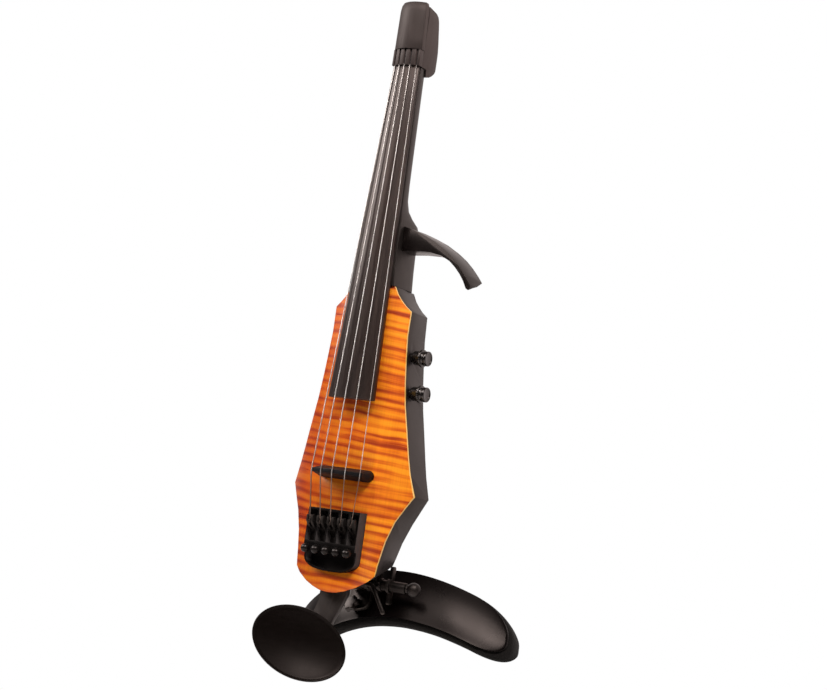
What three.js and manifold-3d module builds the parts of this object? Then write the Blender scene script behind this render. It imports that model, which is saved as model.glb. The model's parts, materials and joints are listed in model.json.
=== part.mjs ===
// Headless five-string solid-body violin with its chin rest and shoulder rest.
// Millimetres. +Z runs up the instrument to the head, +X to the treble side, +Y to the back.
// The origin is on the flat back face, on the centre line, level with the bridge.
import * as THREE from "three";
import { mergeVertices } from "three/addons/utils/BufferGeometryUtils.js";
import Module from "manifold-3d";

const wasm = await Module();
wasm.setup();

// ---------- driving dimensions ----------
const GAP = 0.3;
const STRING_LENGTH = 328;
const BOARD_LENGTH = 270;
const CROWN_Y = -34.5;
const CROWN_RADIUS = 108;
const TOP_THICKNESS = 1.6;
const NECK_START_Z = 150;
const BOARD_END_Z = STRING_LENGTH - BOARD_LENGTH;
const HEAD_TOP_Z = 380.5;
const STRING_RADII = [0.45, 0.42, 0.38, 0.34, 0.28];
const BRIDGE_STRING_PITCH = 11.1;
const NUT_STRING_PITCH = 4.95;
const CLAW_PITCH = 9.5;
const SHOULDER_TILT = 25;
const SHOULDER_ROLL = 15;

const BODY_HALF_OUTLINE = [
  [0, -92.3],
  [7.5, -91.8],
  [14.7, -89.9],
  [22.8, -86.8],
  [31.3, -82.0],
  [35.8, -77.6],
  [37.6, -62],
  [40.0, -47.5],
  [44.7, -32],
  [55.1, -11.0],
  [50.4, 6],
  [47.6, 19],
  [44.0, 38],
  [40.0, 58.5],
  [37.6, 77],
  [35.9, 94],
  [34.4, 112],
  [34.6, 131.6],
  [29.6, 135.8],
  [26.0, 139.6],
  [22.6, 143.9],
  [19.4, NECK_START_Z],
];

// Height in front of the crown of the top, as a Y coordinate.
const front = (height) => CROWN_Y - height;
const radians = (degrees) => (degrees * Math.PI) / 180;

// ---------- solid helpers ----------
// Builds a solid from vertices and triangles, turned right side out.
function solidFrom(vertices, triangles) {
  const build = (list) =>
    new wasm.Manifold(
      new wasm.Mesh({
        numProp: 3,
        vertProperties: new Float32Array(vertices),
        triVerts: new Uint32Array(list),
      }),
    );
  const made = build(triangles);
  if (made.volume() > 0) return made;
  const reversed = [];
  for (let i = 0; i < triangles.length; i += 3)
    reversed.push(triangles[i], triangles[i + 2], triangles[i + 1]);
  return build(reversed);
}

function solidOf(geometry) {
  const g = geometry.index ? geometry.toNonIndexed() : geometry.clone();
  g.deleteAttribute("normal");
  g.deleteAttribute("uv");
  const merged = mergeVertices(g, 1e-4);
  return solidFrom(merged.attributes.position.array, merged.index.array);
}

const box = (x0, x1, y0, y1, z0, z1) =>
  wasm.Manifold.cube([x1 - x0, y1 - y0, z1 - z0]).translate([x0, y0, z0]);

// A cylinder or cone from one point to another.
function rod(from, to, r0, r1 = r0, segments = 20) {
  const a = new THREE.Vector3(...from);
  const b = new THREE.Vector3(...to);
  const length = a.distanceTo(b);
  const turn = new THREE.Quaternion().setFromUnitVectors(
    new THREE.Vector3(0, 0, 1),
    b.clone().sub(a).normalize(),
  );
  const matrix = new THREE.Matrix4().compose(a, turn, new THREE.Vector3(1, 1, 1));
  return wasm.Manifold.cylinder(length, r0, r1, segments).transform(matrix.elements);
}

// A profile of [radius, distance] pairs turned about an axis that starts at a point.
function turned(profile, from, axis, segments = 24) {
  const g = new THREE.LatheGeometry(
    profile.map(([r, d]) => new THREE.Vector2(r, d)),
    segments,
  );
  const turn = new THREE.Quaternion().setFromUnitVectors(
    new THREE.Vector3(0, 1, 0),
    new THREE.Vector3(...axis).normalize(),
  );
  const one = new THREE.Vector3(1, 1, 1);
  g.applyMatrix4(new THREE.Matrix4().compose(new THREE.Vector3(...from), turn, one));
  return solidOf(g);
}

// Skins a list of rings, each the same number of [x, y, z] points, and caps both ends.
function loft(rings) {
  const count = rings[0].length;
  const vertices = rings.flat(2);
  const centre = (ring) => [0, 1, 2].map((k) => ring.reduce((s, p) => s + p[k], 0) / count);
  vertices.push(...centre(rings[0]), ...centre(rings.at(-1)));
  const first = rings.length * count;
  const faces = [];
  for (let i = 0; i < count; i += 1) {
    const j = (i + 1) % count;
    for (let r = 0; r + 1 < rings.length; r += 1) {
      const a = r * count;
      const b = a + count;
      faces.push(a + i, a + j, b + j, a + i, b + j, b + i);
    }
    const last = (rings.length - 1) * count;
    faces.push(first, j, i, first + 1, last + i, last + j);
  }
  return solidFrom(vertices, faces);
}

// An outline of [x, z] points given thickness between two Y values.
function slab(outline, y0, y1) {
  const shape = new THREE.Shape(outline.map(([x, z]) => new THREE.Vector2(x, z)));
  const g = new THREE.ExtrudeGeometry(shape, { depth: y1 - y0, bevelEnabled: false });
  g.rotateX(Math.PI / 2);
  g.translate(0, y1, 0);
  return solidOf(g);
}

// An outline of [y, z] points given thickness between two X values.
function slabX(outline, x0, x1) {
  const g = new THREE.ExtrudeGeometry(
    new THREE.Shape(outline.map(([y, z]) => new THREE.Vector2(y, z))),
    { depth: x1 - x0, bevelEnabled: false },
  );
  const toX = new THREE.Matrix4().set(0, 0, 1, x0, 1, 0, 0, 0, 0, 1, 0, 0, 0, 0, 0, 1);
  g.applyMatrix4(toX);
  return solidOf(g);
}

// Points of a rounded, flattened section about the origin; exponent 2 is an ellipse.
function roundedSection(halfWidth, halfHeight, exponent, count) {
  const points = [];
  for (let i = 0; i < count; i += 1) {
    const a = (2 * Math.PI * i) / count;
    const c = Math.cos(a);
    const s = Math.sin(a);
    points.push([
      halfWidth * Math.sign(c) * Math.abs(c) ** (2 / exponent),
      halfHeight * Math.sign(s) * Math.abs(s) ** (2 / exponent),
    ]);
  }
  return points;
}

const lerp = (a, b, t) => a + (b - a) * t;

// Reads a table of [position, value, value...] rows between its rows.
function sample(table, at) {
  let i = 0;
  while (i < table.length - 2 && at > table[i + 1][0]) i += 1;
  const [a, b] = [table[i], table[i + 1]];
  const t = Math.min(1, Math.max(0, (at - a[0]) / (b[0] - a[0])));
  return a.slice(1).map((v, k) => lerp(v, b[k + 1], t));
}

// ---------- materials ----------
const MATERIALS = {
  amber: { color: 0xd9791f, roughness: 0.25, metalness: 0 },
  black_satin: { color: 0x2a2625, roughness: 0.45, metalness: 0 },
  board: { color: 0x3a3331, roughness: 0.5, metalness: 0 },
  gloss: { color: 0x0c0c0d, roughness: 0.15, metalness: 0 },
  plastic: { color: 0x1c1a1a, roughness: 0.4, metalness: 0 },
  metal_black: { color: 0x151516, roughness: 0.3, metalness: 0.8 },
  steel: { color: 0xb8b8bb, roughness: 0.3, metalness: 1 },
  foam: { color: 0x1a1817, roughness: 0.95, metalness: 0 },
  circuit: { color: 0x1d4a2b, roughness: 0.6, metalness: 0 },
  ceramic: { color: 0xcfc8b8, roughness: 0.5, metalness: 0 },
};

const instrument = new THREE.Group();

function add(name, solid, material) {
  const made = solid.getMesh();
  const geometry = new THREE.BufferGeometry();
  geometry.setAttribute(
    "position",
    new THREE.BufferAttribute(new Float32Array(made.vertProperties), 3),
  );
  geometry.setIndex(new THREE.BufferAttribute(new Uint32Array(made.triVerts), 1));
  const mesh = new THREE.Mesh(geometry, new THREE.MeshStandardMaterial(MATERIALS[material]));
  mesh.name = name;
  instrument.add(mesh);
}

// ---------- body and top ----------
const mirrorOutline = (half) => [
  ...half.map(([x, z]) => [x, z]),
  ...half
    .slice()
    .reverse()
    .filter(([x]) => x > 0)
    .map(([x, z]) => [-x, z]),
];
const outline = mirrorOutline(BODY_HALF_OUTLINE);

// The lower end leans: its back edge stands higher than its front edge.
const BOTTOM_LEAN = 12.5;
const leaning = ([x, z], y) => {
  const share = Math.min(1, Math.max(0, (-58 - z) / 20));
  return [x, y, z + (share * BOTTOM_LEAN * (y - CROWN_Y)) / -CROWN_Y];
};
const FRONT_Y = CROWN_Y - 1;
// The flanks spread towards the back below the middle: rows of [z, extra half width].
const FLARE_START_Y = -20;
const BACK_FLARE = [
  [-65, -1.4],
  [-51, -0.6],
  [-40, 1.2],
  [-26, 2.6],
  [-11, 2.8],
  [20, 2.4],
  [60, 1.4],
  [122, -0.6],
  [134, -1.6],
];
const flared = ([x, z]) => [x + Math.sign(x) * sample(BACK_FLARE, z)[0], z];
const frontRing = outline.map((p) => leaning(p, FRONT_Y));
const middleRing = outline.map((p) => leaning(p, FLARE_START_Y));
const backRing = outline.map((p) => leaning(flared(p), 0));
const crownAxisY = CROWN_Y + CROWN_RADIUS;
const crown = (depth) =>
  rod(
    [0, crownAxisY, -140],
    [0, crownAxisY, 200],
    CROWN_RADIUS - depth,
    CROWN_RADIUS - depth,
    150,
  );

// Front and back caps follow the outline, so the loft caps are made from the outline itself.
function outlineLoft(ringA, ringB) {
  const count = ringA.length;
  const flat = ringA.map(([x, , z]) => new THREE.Vector2(x, z));
  const cap = THREE.ShapeUtils.triangulateShape(flat, []);
  const faces = [];
  for (const [a, b, c] of cap) faces.push(a, b, c, count + a, count + c, count + b);
  for (let i = 0; i < count; i += 1) {
    const j = (i + 1) % count;
    faces.push(j, i, count + i, j, count + i, count + j);
  }
  return solidFrom([...ringA, ...ringB].flat(), faces);
}
const bodyPrism = outlineLoft(frontRing, middleRing).add(outlineLoft(middleRing, backRing));

// Rooms cut into the body.
const CAVITY = { x0: -29, x1: 30, y0: -23, z0: 50, z1: 114 };
const COVER = { x0: -31, x1: 31, z0: 45, z1: 119, thickness: 2.2, corner: 5 };
const ARM_SLOT = { half: 18, y0: -26.2, y1: -21.2, z1: -62 };
const ARM_PIVOT_Z = -72;
const BRIDGE = { half: 24.6, depth: 4.4, slot: 5 };
const HOUSING = {
  half: 23.5,
  z1: -28.8,
  zSide: -67,
  zArc: -76.4,
  front: 7.3,
  rim: 4.5,
  root: -6.5,
};
const KNOB_POSITIONS = { volume: 97, tone: 68.9, y: CROWN_Y + 17, bore: 3.6 };
const JACK = { z: 82, y: CROWN_Y + 18, radius: 4.7 };
const TENON = { half: 12.5, y0: -28.5, y1: -7, z0: 124 };
const HINGE = { y: 6.2, z: -81.5, radius: 3.4 };
const STOP_PINS = [-23.5, -14.5];
const STOP_PIN_Z = 190;

const flankAt = (z) => {
  let half = 0;
  for (let i = 5; i + 1 < BODY_HALF_OUTLINE.length; i += 1) {
    const [x0, z0] = BODY_HALF_OUTLINE[i];
    const [x1, z1] = BODY_HALF_OUTLINE[i + 1];
    if (z >= z0 && z <= z1) half = lerp(x0, x1, (z - z0) / (z1 - z0));
  }
  return half;
};

const roundedRectangle = (x0, x1, z0, z1, r) => {
  const points = [];
  const corners = [
    [x1 - r, z1 - r, 0],
    [x0 + r, z1 - r, 90],
    [x0 + r, z0 + r, 180],
    [x1 - r, z0 + r, 270],
  ];
  for (const [cx, cz, start] of corners)
    for (let k = 0; k <= 3; k += 1) {
      const a = radians(start + k * 30);
      points.push([cx + r * Math.cos(a), cz + r * Math.sin(a)]);
    }
  return points;
};

// A long rounded slot outline lying across the instrument.
const pill = (half, r, z) => {
  const points = [];
  for (let k = 0; k <= 12; k += 1) {
    const a = radians(-90 + k * 15);
    points.push([half - r + r * Math.cos(a), z + r * Math.sin(a)]);
  }
  return [...points, ...points.map(([x, zz]) => [-x, 2 * z - zz])];
};

// The D-shaped outline of the tuner housing, grown by a margin.
const housingOutline = (grow) => {
  const half = HOUSING.half + grow;
  const points = [
    [half, HOUSING.z1 + grow],
    [-half, HOUSING.z1 + grow],
  ];
  const drop = HOUSING.zSide - HOUSING.zArc;
  for (let k = 0; k <= 12; k += 1) {
    const a = radians(180 + k * 15);
    points.push([
      half * Math.sign(Math.cos(a)) * Math.abs(Math.cos(a)) ** 0.75,
      HOUSING.zSide + (drop + grow) * Math.sin(a),
    ]);
  }
  return points;
};

const coverRecess = slab(
  roundedRectangle(COVER.x0 - GAP, COVER.x1 + GAP, COVER.z0 - GAP, COVER.z1 + GAP, COVER.corner),
  -COVER.thickness - GAP,
  1,
);
const COVER_SCREWS = [
  [-26.5, 48.6],
  [26.5, 48.6],
  [-26.5, 115.4],
  [26.5, 115.4],
];
const BRACKET_SCREWS = [
  [-14, -50],
  [20, -50],
];
const armSlot = box(-ARM_SLOT.half, ARM_SLOT.half, ARM_SLOT.y0, ARM_SLOT.y1, -100, ARM_SLOT.z1);
const pivotBore = rod([0, 1, ARM_PIVOT_Z], [0, -26.2, ARM_PIVOT_Z], 2.6).add(
  rod([0, 1, ARM_PIVOT_Z], [0, -4, ARM_PIVOT_Z], 5.4),
);
const potBores = [KNOB_POSITIONS.volume, KNOB_POSITIONS.tone].map((z) =>
  rod([CAVITY.x1 - 4, KNOB_POSITIONS.y, z], [70, KNOB_POSITIONS.y, z], KNOB_POSITIONS.bore + GAP),
);
const jackBore = rod(
  [CAVITY.x0 + 4, JACK.y, JACK.z],
  [-70, JACK.y, JACK.z],
  JACK.radius + GAP,
);
const wireWay = rod([8, -24, 2], [8, -17, 56], 2.2);
const pickupWay = rod([8, -36, 0], [8, -21, 0], 2.2);
const bridgeSlot = slab(pill(BRIDGE.half + GAP, BRIDGE.depth + GAP, 0), -40, front(-BRIDGE.slot));
const housingRoot = slab(housingOutline(GAP), front(1), front(HOUSING.root) + GAP);
const tenonRoom = box(
  -TENON.half - GAP,
  TENON.half + GAP,
  TENON.y0 - GAP,
  TENON.y1 + GAP,
  TENON.z0 - GAP,
  NECK_START_Z + 1,
);

let body = bodyPrism
  .intersect(crown(TOP_THICKNESS))
  .subtract(box(CAVITY.x0, CAVITY.x1, CAVITY.y0, 1, CAVITY.z0, CAVITY.z1))
  .subtract(coverRecess)
  .subtract(armSlot)
  .subtract(pivotBore)
  .subtract(jackBore)
  .subtract(wireWay)
  .subtract(pickupWay)
  .subtract(bridgeSlot)
  .subtract(housingRoot)
  .subtract(tenonRoom);
for (const bore of potBores) body = body.subtract(bore);
for (const [x, z] of COVER_SCREWS) body = body.subtract(rod([x, 1, z], [x, -9, z], 1.3, 1.3, 16));
for (const [x, z] of BRACKET_SCREWS) body = body.subtract(rod([x, 1, z], [x, -13, z], 2, 2, 16));
add("body", body, "black_satin");

const topPlate = bodyPrism
  .intersect(crown(0))
  .subtract(crown(TOP_THICKNESS - 0.04))
  .subtract(bridgeSlot)
  .subtract(pickupWay)
  .subtract(slab(housingOutline(GAP), -40, -20));
add("top_plate", topPlate, "amber");

// ---------- fingerboard ----------
// Rows of [z, half width, height of the crown line, height of its edge, edge thickness].
const BOARD = [
  [BOARD_END_Z, 20.5, 13.4, 8.7, 5.2],
  [STRING_LENGTH, 11.8, 1.2, -1.7, 3],
];
const boardSections = [];
for (let k = 0; k <= 9; k += 1) {
  const z = lerp(BOARD_END_Z, STRING_LENGTH, k / 9);
  const [half, top, edge, thickness] = sample(BOARD, z);
  const sagitta = top - edge;
  const ring = [];
  for (let i = 0; i <= 14; i += 1) {
    const x = lerp(-half, half, i / 14);
    ring.push([x, front(top - sagitta * (x / half) ** 2), z]);
  }
  ring.push([half - 0.6, front(edge - thickness), z], [-half + 0.6, front(edge - thickness), z]);
  boardSections.push(ring);
}
add("fingerboard", loft(boardSections), "board");
const boardUnderside = (z) => {
  const [, , edge, thickness] = sample(BOARD, z);
  return front(edge - thickness);
};

// ---------- neck ----------
// Rows of [z, half width, Y of the back, squareness of the section].
const NECK = [
  [NECK_START_Z, 19.2, -1.2, 9],
  [165, 18.0, -1.0, 9],
  [182, 17.2, -0.8, 9],
  [198, 17.0, -0.4, 9],
  [202.5, 16.8, -2.2, 7],
  [207, 16.2, -8.2, 4.5],
  [212, 15.6, -12.5, 3],
  [220, 15.3, -16.0, 2.6],
  [232, 15.0, -16.6, 2.5],
  [260, 14.1, -16.4, 2.5],
  [300, 12.8, -15.9, 2.5],
  [STRING_LENGTH - 0.4, 11.9, -15.5, 2.5],
];
const neckSections = NECK.map(([z, half, backY, exponent]) => {
  const under = boardUnderside(Math.max(z, NECK_START_Z)) + GAP;
  const depth = backY - under;
  const ring = [];
  const count = 16;
  for (let i = 0; i <= count; i += 1) {
    const a = (Math.PI * i) / count;
    const c = Math.cos(a);
    const s = Math.sin(a);
    ring.push([
      half * Math.sign(c) * Math.abs(c) ** (2 / exponent),
      under + depth * s ** (2 / exponent),
      z,
    ]);
  }
  return ring;
});
const neckBase = loft(neckSections).translate([0, 0, GAP]);
const tenon = box(-TENON.half, TENON.half, TENON.y0, TENON.y1, TENON.z0, NECK_START_Z + 4);
let neck = neckBase.add(tenon);
for (const y of STOP_PINS)
  neck = neck.subtract(rod([6.7, y, STOP_PIN_Z], [30, y, STOP_PIN_Z], 1.8));
add("neck", neck, "black_satin");

// ---------- head ----------
const HEAD = { half: 12.4, combZ: 341.5, floor: -5.2, capHeight: 4.6 };
const headZ0 = STRING_LENGTH + 0.2;
// Side view of the head: a full round heel behind the neck, then a back that slopes forward.
const headProfile = [
  [front(HEAD.floor), headZ0],
  [-22.4, headZ0],
  [-21.8, 323],
  [-19, 322.9],
  [-16.4, 323.5],
  [-12.8, 325.6],
  [-9.4, 328.3],
  [-6.8, 331.4],
  [-5.3, 334.8],
  [-4.9, 337.5],
  [-5.3, 340.4],
  [-7.8, 349],
  [-10.8, 360.5],
  [-13.4, 371],
  [-14.8, 374],
  [-18, 376],
  [front(HEAD.floor), 378],
];
const HEAD_SHELL = { y: -22.5, halfDepth: 18.5, squareness: 6 };
const headShell = loft(
  [318, 370, 384].map((z) => {
    const half = HEAD.half - Math.max(0, z - 370) * 0.06;
    const section = roundedSection(half, HEAD_SHELL.halfDepth, HEAD_SHELL.squareness, 32);
    return section.map(([x, y]) => [x, y + HEAD_SHELL.y, z]);
  }),
);
const neckRoom = neckBase
  .scale([1.025, 1, 1])
  .translate([0, GAP, GAP])
  .add(neckBase);
const headBlock = slabX(headProfile, -HEAD.half, HEAD.half)
  .intersect(headShell)
  .subtract(neckRoom);
const HEAD_SCREWS = [
  [-5.5, 360],
  [5.5, 360],
];
let head = headBlock.subtract(box(-9.4, 9.4, front(HEAD.floor) - 1, -27, 344.5, 356));
for (const [x, z] of HEAD_SCREWS) {
  head = head.subtract(rod([x, -40, z], [x, 0, z], 1.7));
  head = head.subtract(rod([x, -14, z], [x, 0, z], 3.1));
}
add("head_block", head, "plastic");

// String comb with a slot for each string, in front of the head block.
const stringX = (index, pitch) => (index - 2) * pitch;
const combArch = (x) => 3.4 - (3.1 * x * x) / (HEAD.half * HEAD.half);
const combSections = [headZ0, HEAD.combZ - GAP].map((z) => {
  const ring = [];
  const half = z < 330 ? 12.6 : HEAD.half;
  for (let i = 0; i <= 12; i += 1) {
    const x = lerp(-half, half, i / 12);
    ring.push([x, front(combArch(x)), z]);
  }
  ring.push([half, front(HEAD.floor) - GAP, z], [-half, front(HEAD.floor) - GAP, z]);
  return ring;
});
let comb = loft(combSections);
for (let i = 0; i < 5; i += 1) {
  const x = stringX(i, NUT_STRING_PITCH);
  const depth = 2.1 - 2.4 * (x / (2 * NUT_STRING_PITCH)) ** 2 - 1;
  comb = comb.subtract(box(x - 0.9, x + 0.9, -50, front(depth), headZ0 - 1, HEAD.combZ));
}
add("string_comb", comb, "gloss");

// Arched cap that hides the clamped string ends.
const capSections = [HEAD.combZ, 350, 362, 373, 377.5, HEAD_TOP_Z].map((z) => {
  const t = Math.max(0, (z - 372) / (HEAD_TOP_Z - 372));
  const half = lerp(12.6, 11.8, (z - HEAD.combZ) / (HEAD_TOP_Z - HEAD.combZ)) - 1.6 * t ** 3;
  const lift = HEAD.capHeight - 2.4 * t ** 3;
  const ring = [];
  for (let i = 0; i <= 12; i += 1) {
    const x = lerp(-half, half, i / 12);
    ring.push([x, front(lift - 5.2 * (x / 12.5) ** 2), z]);
  }
  ring.push([half, front(HEAD.floor) - GAP, z], [-half, front(HEAD.floor) - GAP, z]);
  return ring;
});
const capRoom = loft(
  [HEAD.combZ - 1, 356.5].map((z) => {
    const ring = [];
    for (let i = 0; i <= 8; i += 1) {
      const x = lerp(-10.5, 10.5, i / 8);
      ring.push([x, front(3.2 - 2.8 * (x / 10.5) ** 2), z]);
    }
    return [...ring, [10.5, front(HEAD.floor) + 1, z], [-10.5, front(HEAD.floor) + 1, z]];
  }),
);
let cap = loft(capSections).subtract(capRoom);
for (const [x, z] of HEAD_SCREWS)
  cap = cap.subtract(rod([x, front(-1.2), z], [x, -20, z], 1.25, 1.25, 16));
add("head_cap", cap, "plastic");

HEAD_SCREWS.forEach(([x, z], i) => {
  const shank = rod([x, front(-1.6), z], [x, -13.6, z], 1.1, 1.1, 10);
  const headPart = rod([x, -13.7, z], [x, -11.0, z], 2.7, 2.7, 16);
  const socket = rod([x, -12.4, z], [x, -10, z], 1.3, 1.3, 6);
  add(`head_screw_${i + 1}`, shank.add(headPart).subtract(socket), "metal_black");
});

// Bar that pinches the plain string ends against the head block.
add(
  "string_lock_bar",
  box(-9.1, 9.1, front(-1.9), front(-4.6), 345.2, 350.5),
  "steel",
);

// ---------- bridge and pickup ----------
const bridgeTop = (x) => 18.75 - (5.3 * x * x) / (22.2 * 22.2);
const bridgeSections = [];
const BRIDGE_ROWS = [
  [-BRIDGE.slot + 2.3, BRIDGE.half, BRIDGE.depth],
  [2.6, BRIDGE.half, BRIDGE.depth],
  [4.2, BRIDGE.half - 0.5, BRIDGE.depth - 0.5],
  [9, 23.6, 2.7],
  [12.2, 22.9, 1.7],
];
for (const [height, half, depth] of BRIDGE_ROWS)
  bridgeSections.push(pill(half, depth, 0).map(([x, z]) => [x, front(height), z]));
const bridgeFoot = loft(bridgeSections);
const crestOutline = [];
for (let i = 0; i <= 20; i += 1) {
  const x = lerp(-23.6, 23.6, i / 20);
  crestOutline.push([x, front(bridgeTop(x))]);
}
crestOutline.push([22.9, front(8)], [-22.9, front(8)]);
const crest = wasm.Manifold.extrude([crestOutline], 3).translate([0, 0, -1.5]);
add("bridge", bridgeFoot.add(crest), "gloss");
add(
  "piezo_pickup",
  box(-20, 20, front(-BRIDGE.slot + 2), front(-BRIDGE.slot) - 0.1, -1.6, 1.6),
  "ceramic",
);

// ---------- tuner housing, claws and knobs ----------
const PIVOT = { z: -44, height: 1.5, radius: 1.5 };
const KNOB_TILT = radians(26);
const KNOB_AXIS = [0, -Math.cos(KNOB_TILT), -Math.sin(KNOB_TILT)];
const KNOB_CENTRE = { height: 10.2, z: -60.2 };
const housingBody = slab(housingOutline(0), front(HOUSING.front), front(HOUSING.root)).subtract(
  box(-30, 30, front(20), front(HOUSING.rim), -90, -59.5),
);
const lowerPocket = slab(
  housingOutline(-1.6),
  front(20),
  front(-4),
).intersect(box(-40, 40, -80, 0, -90, -60.5));
let housing = housingBody.subtract(lowerPocket);
for (let i = 0; i < 5; i += 1) {
  const x = stringX(i, CLAW_PITCH);
  housing = housing
    .subtract(box(x - 4.1, x + 4.1, front(20), front(-5.2), -54.5, -30.6))
    .subtract(box(x - 3.7, x + 3.7, front(3.8), front(-5.2), -58, -50));
}
housing = housing.subtract(
  rod([-21.8, front(PIVOT.height), PIVOT.z], [21.8, front(PIVOT.height), PIVOT.z], 1.6, 1.6, 24),
);
const knobPoint = (x, along) => [
  x,
  front(KNOB_CENTRE.height) + KNOB_AXIS[1] * along,
  KNOB_CENTRE.z + KNOB_AXIS[2] * along,
];
for (let i = 0; i < 5; i += 1) {
  const x = stringX(i, CLAW_PITCH);
  housing = housing.subtract(rod(knobPoint(x, 2), knobPoint(x, -8.9), 1.45, 1.45, 12));
}
add("tuner_housing", housing, "gloss");
add(
  "claw_pin",
  rod(
    [-21.6, front(PIVOT.height), PIVOT.z],
    [21.6, front(PIVOT.height), PIVOT.z],
    PIVOT.radius,
    PIVOT.radius,
    24,
  ),
  "steel",
);

for (let i = 0; i < 5; i += 1) {
  const x = stringX(i, CLAW_PITCH);
  // Side view of the claw: a rocker on the pin with a hook for the string end.
  const side = [
    [front(-1.6), -41.2],
    [front(-1.6), -56.4],
    [front(1.4), -56.4],
    [front(1.8), -49.5],
    [front(5.4), -45.8],
    [front(11.6), -39.8],
    [front(11.6), -35.2],
    [front(8.8), -34.4],
    [front(5.5), -38.4],
    [front(0), -40.6],
  ];
  const claw = slabX(side, x - 3, x + 3)
    .subtract(box(x - 1.0, x + 1.0, front(20), front(6.2), -60, -30))
    .subtract(
      rod(
        [x - 9, front(PIVOT.height), PIVOT.z],
        [x + 9, front(PIVOT.height), PIVOT.z],
        1.6,
        1.6,
        24,
      ),
    );
  add(`string_claw_${i + 1}`, claw, "metal_black");

  const dome = [[0, -1.2]];
  for (let k = 0; k <= 4; k += 1) {
    const a = radians(k * 22.5);
    dome.push([3.5 * Math.cos(a), 1.8 + 2.6 * Math.sin(a)]);
  }
  dome.splice(1, 0, [2.9, -1.2], [3.5, -0.6]);
  dome[dome.length - 1][0] = 0;
  const knob = turned(dome, knobPoint(x, 0), KNOB_AXIS, 16);
  const screw = rod(knobPoint(x, 0), knobPoint(x, -8.4), 1.35, 1.35, 12);
  add(`tuner_knob_${i + 1}`, knob.add(screw), "gloss");
}

// ---------- strings ----------
const STRING_END_Z = HEAD.combZ + 8;
for (let i = 0; i < 5; i += 1) {
  const r = STRING_RADII[i];
  const side = (i - 2) / 2;
  const arch = side * side;
  const bridgeX = stringX(i, BRIDGE_STRING_PITCH);
  const crest = bridgeTop(bridgeX) + r + 0.06;
  const tailX = stringX(i, CLAW_PITCH);
  const nutX = stringX(i, NUT_STRING_PITCH);
  const path = [
    [tailX, 10.6, -38.5],
    [bridgeX, crest, -1.6],
    [bridgeX, crest, 1.6],
    [nutX, 2.1 - 2.4 * arch, STRING_LENGTH],
    [nutX, 1.9 - 2.4 * arch, HEAD.combZ - 1.5],
    [nutX * 0.86, -0.6, STRING_END_Z],
  ];
  const rings = path.map(([x, height, z]) => {
    const ring = [];
    for (let k = 0; k < 6; k += 1) {
      const a = (k * Math.PI) / 3;
      ring.push([x + r * Math.cos(a), front(height) + r * Math.sin(a), z]);
    }
    return ring;
  });
  const ball = rod([tailX, front(10.6), -41.2], [tailX, front(10.6), -38.4], 0.85, 0.85, 8);
  add(`string_${i + 1}`, loft(rings).add(ball), "steel");
}

// ---------- controls on the treble side ----------
const KNOB_LENGTH = 14.4;
for (const control of ["volume", "tone"]) {
  const z = KNOB_POSITIONS[control];
  const y = KNOB_POSITIONS.y;
  const wall = flankAt(z);
  const inner = CAVITY.x1 - 0.2;
  const can = rod([inner - 9, y, z], [inner, y, z], 5.2, 5.2, 20);
  const bush = rod([inner - 1, y, z], [wall + 1.6, y, z], KNOB_POSITIONS.bore, KNOB_POSITIONS.bore, 28);
  const bore = rod([inner - 7, y, z], [wall + 6, y, z], 1.85, 1.85, 24);
  add(`${control}_pot`, can.add(bush).subtract(bore), "steel");
  const base = wall + 2.1;
  const profile = [
    [0, 0],
    [5.2, 0],
    [5.6, 0.5],
    [5.6, 5.6],
    [7.0, 6.1],
    [7.0, 7.6],
    [5.6, 8.1],
    [5.6, 10.2],
    [5.9, 10.6],
    [5.9, KNOB_LENGTH - 2.4],
    [5.4, KNOB_LENGTH - 1.9],
    [4.7, KNOB_LENGTH - 1.9],
    [4.2, KNOB_LENGTH - 2.5],
    [0, KNOB_LENGTH - 2.5],
  ];
  const knob = turned(profile, [base, y, z], [1, 0, 0], 20);
  const shaft = rod([inner - 6, y, z], [base + 1, y, z], 1.5, 1.5, 24);
  add(`${control}_knob`, knob.add(shaft), "plastic");
}

const jackWall = flankAt(JACK.z);
const jackTube = rod(
  [-jackWall - 1.4, JACK.y, JACK.z],
  [CAVITY.x0 + 14, JACK.y, JACK.z],
  JACK.radius,
  JACK.radius,
);
const jackRim = rod([-jackWall - 1.9, JACK.y, JACK.z], [-jackWall - 0.9, JACK.y, JACK.z], 6.2, 6.2);
const jackHole = rod([-60, JACK.y, JACK.z], [CAVITY.x0 + 12, JACK.y, JACK.z], 3.25, 3.25);
add("output_jack", jackTube.add(jackRim).subtract(jackHole), "metal_black");
add("preamp_board", box(-12, 16, -21.5, -19.9, 54, 110), "circuit");

let cover = slab(
  roundedRectangle(COVER.x0, COVER.x1, COVER.z0, COVER.z1, COVER.corner),
  -COVER.thickness,
  0,
);
for (const [x, z] of COVER_SCREWS)
  cover = cover.subtract(rod([x, -4, z], [x, 1, z], 1.5, 1.5, 16)).subtract(
    rod([x, -1.4, z], [x, 0.2, z], 1.5, 3.2, 16),
  );
add("cavity_cover", cover, "plastic");
COVER_SCREWS.forEach(([x, z], i) => {
  const countersunk = rod([x, -1.25, z], [x, -0.1, z], 1.2, 2.7, 16);
  const shank = rod([x, -8.4, z], [x, -1.2, z], 1.05, 1.05, 10);
  const drive = rod([x, -0.9, z], [x, 0.5, z], 0.9, 0.9, 6);
  add(`cover_screw_${i + 1}`, countersunk.add(shank).subtract(drive), "metal_black");
});

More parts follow.
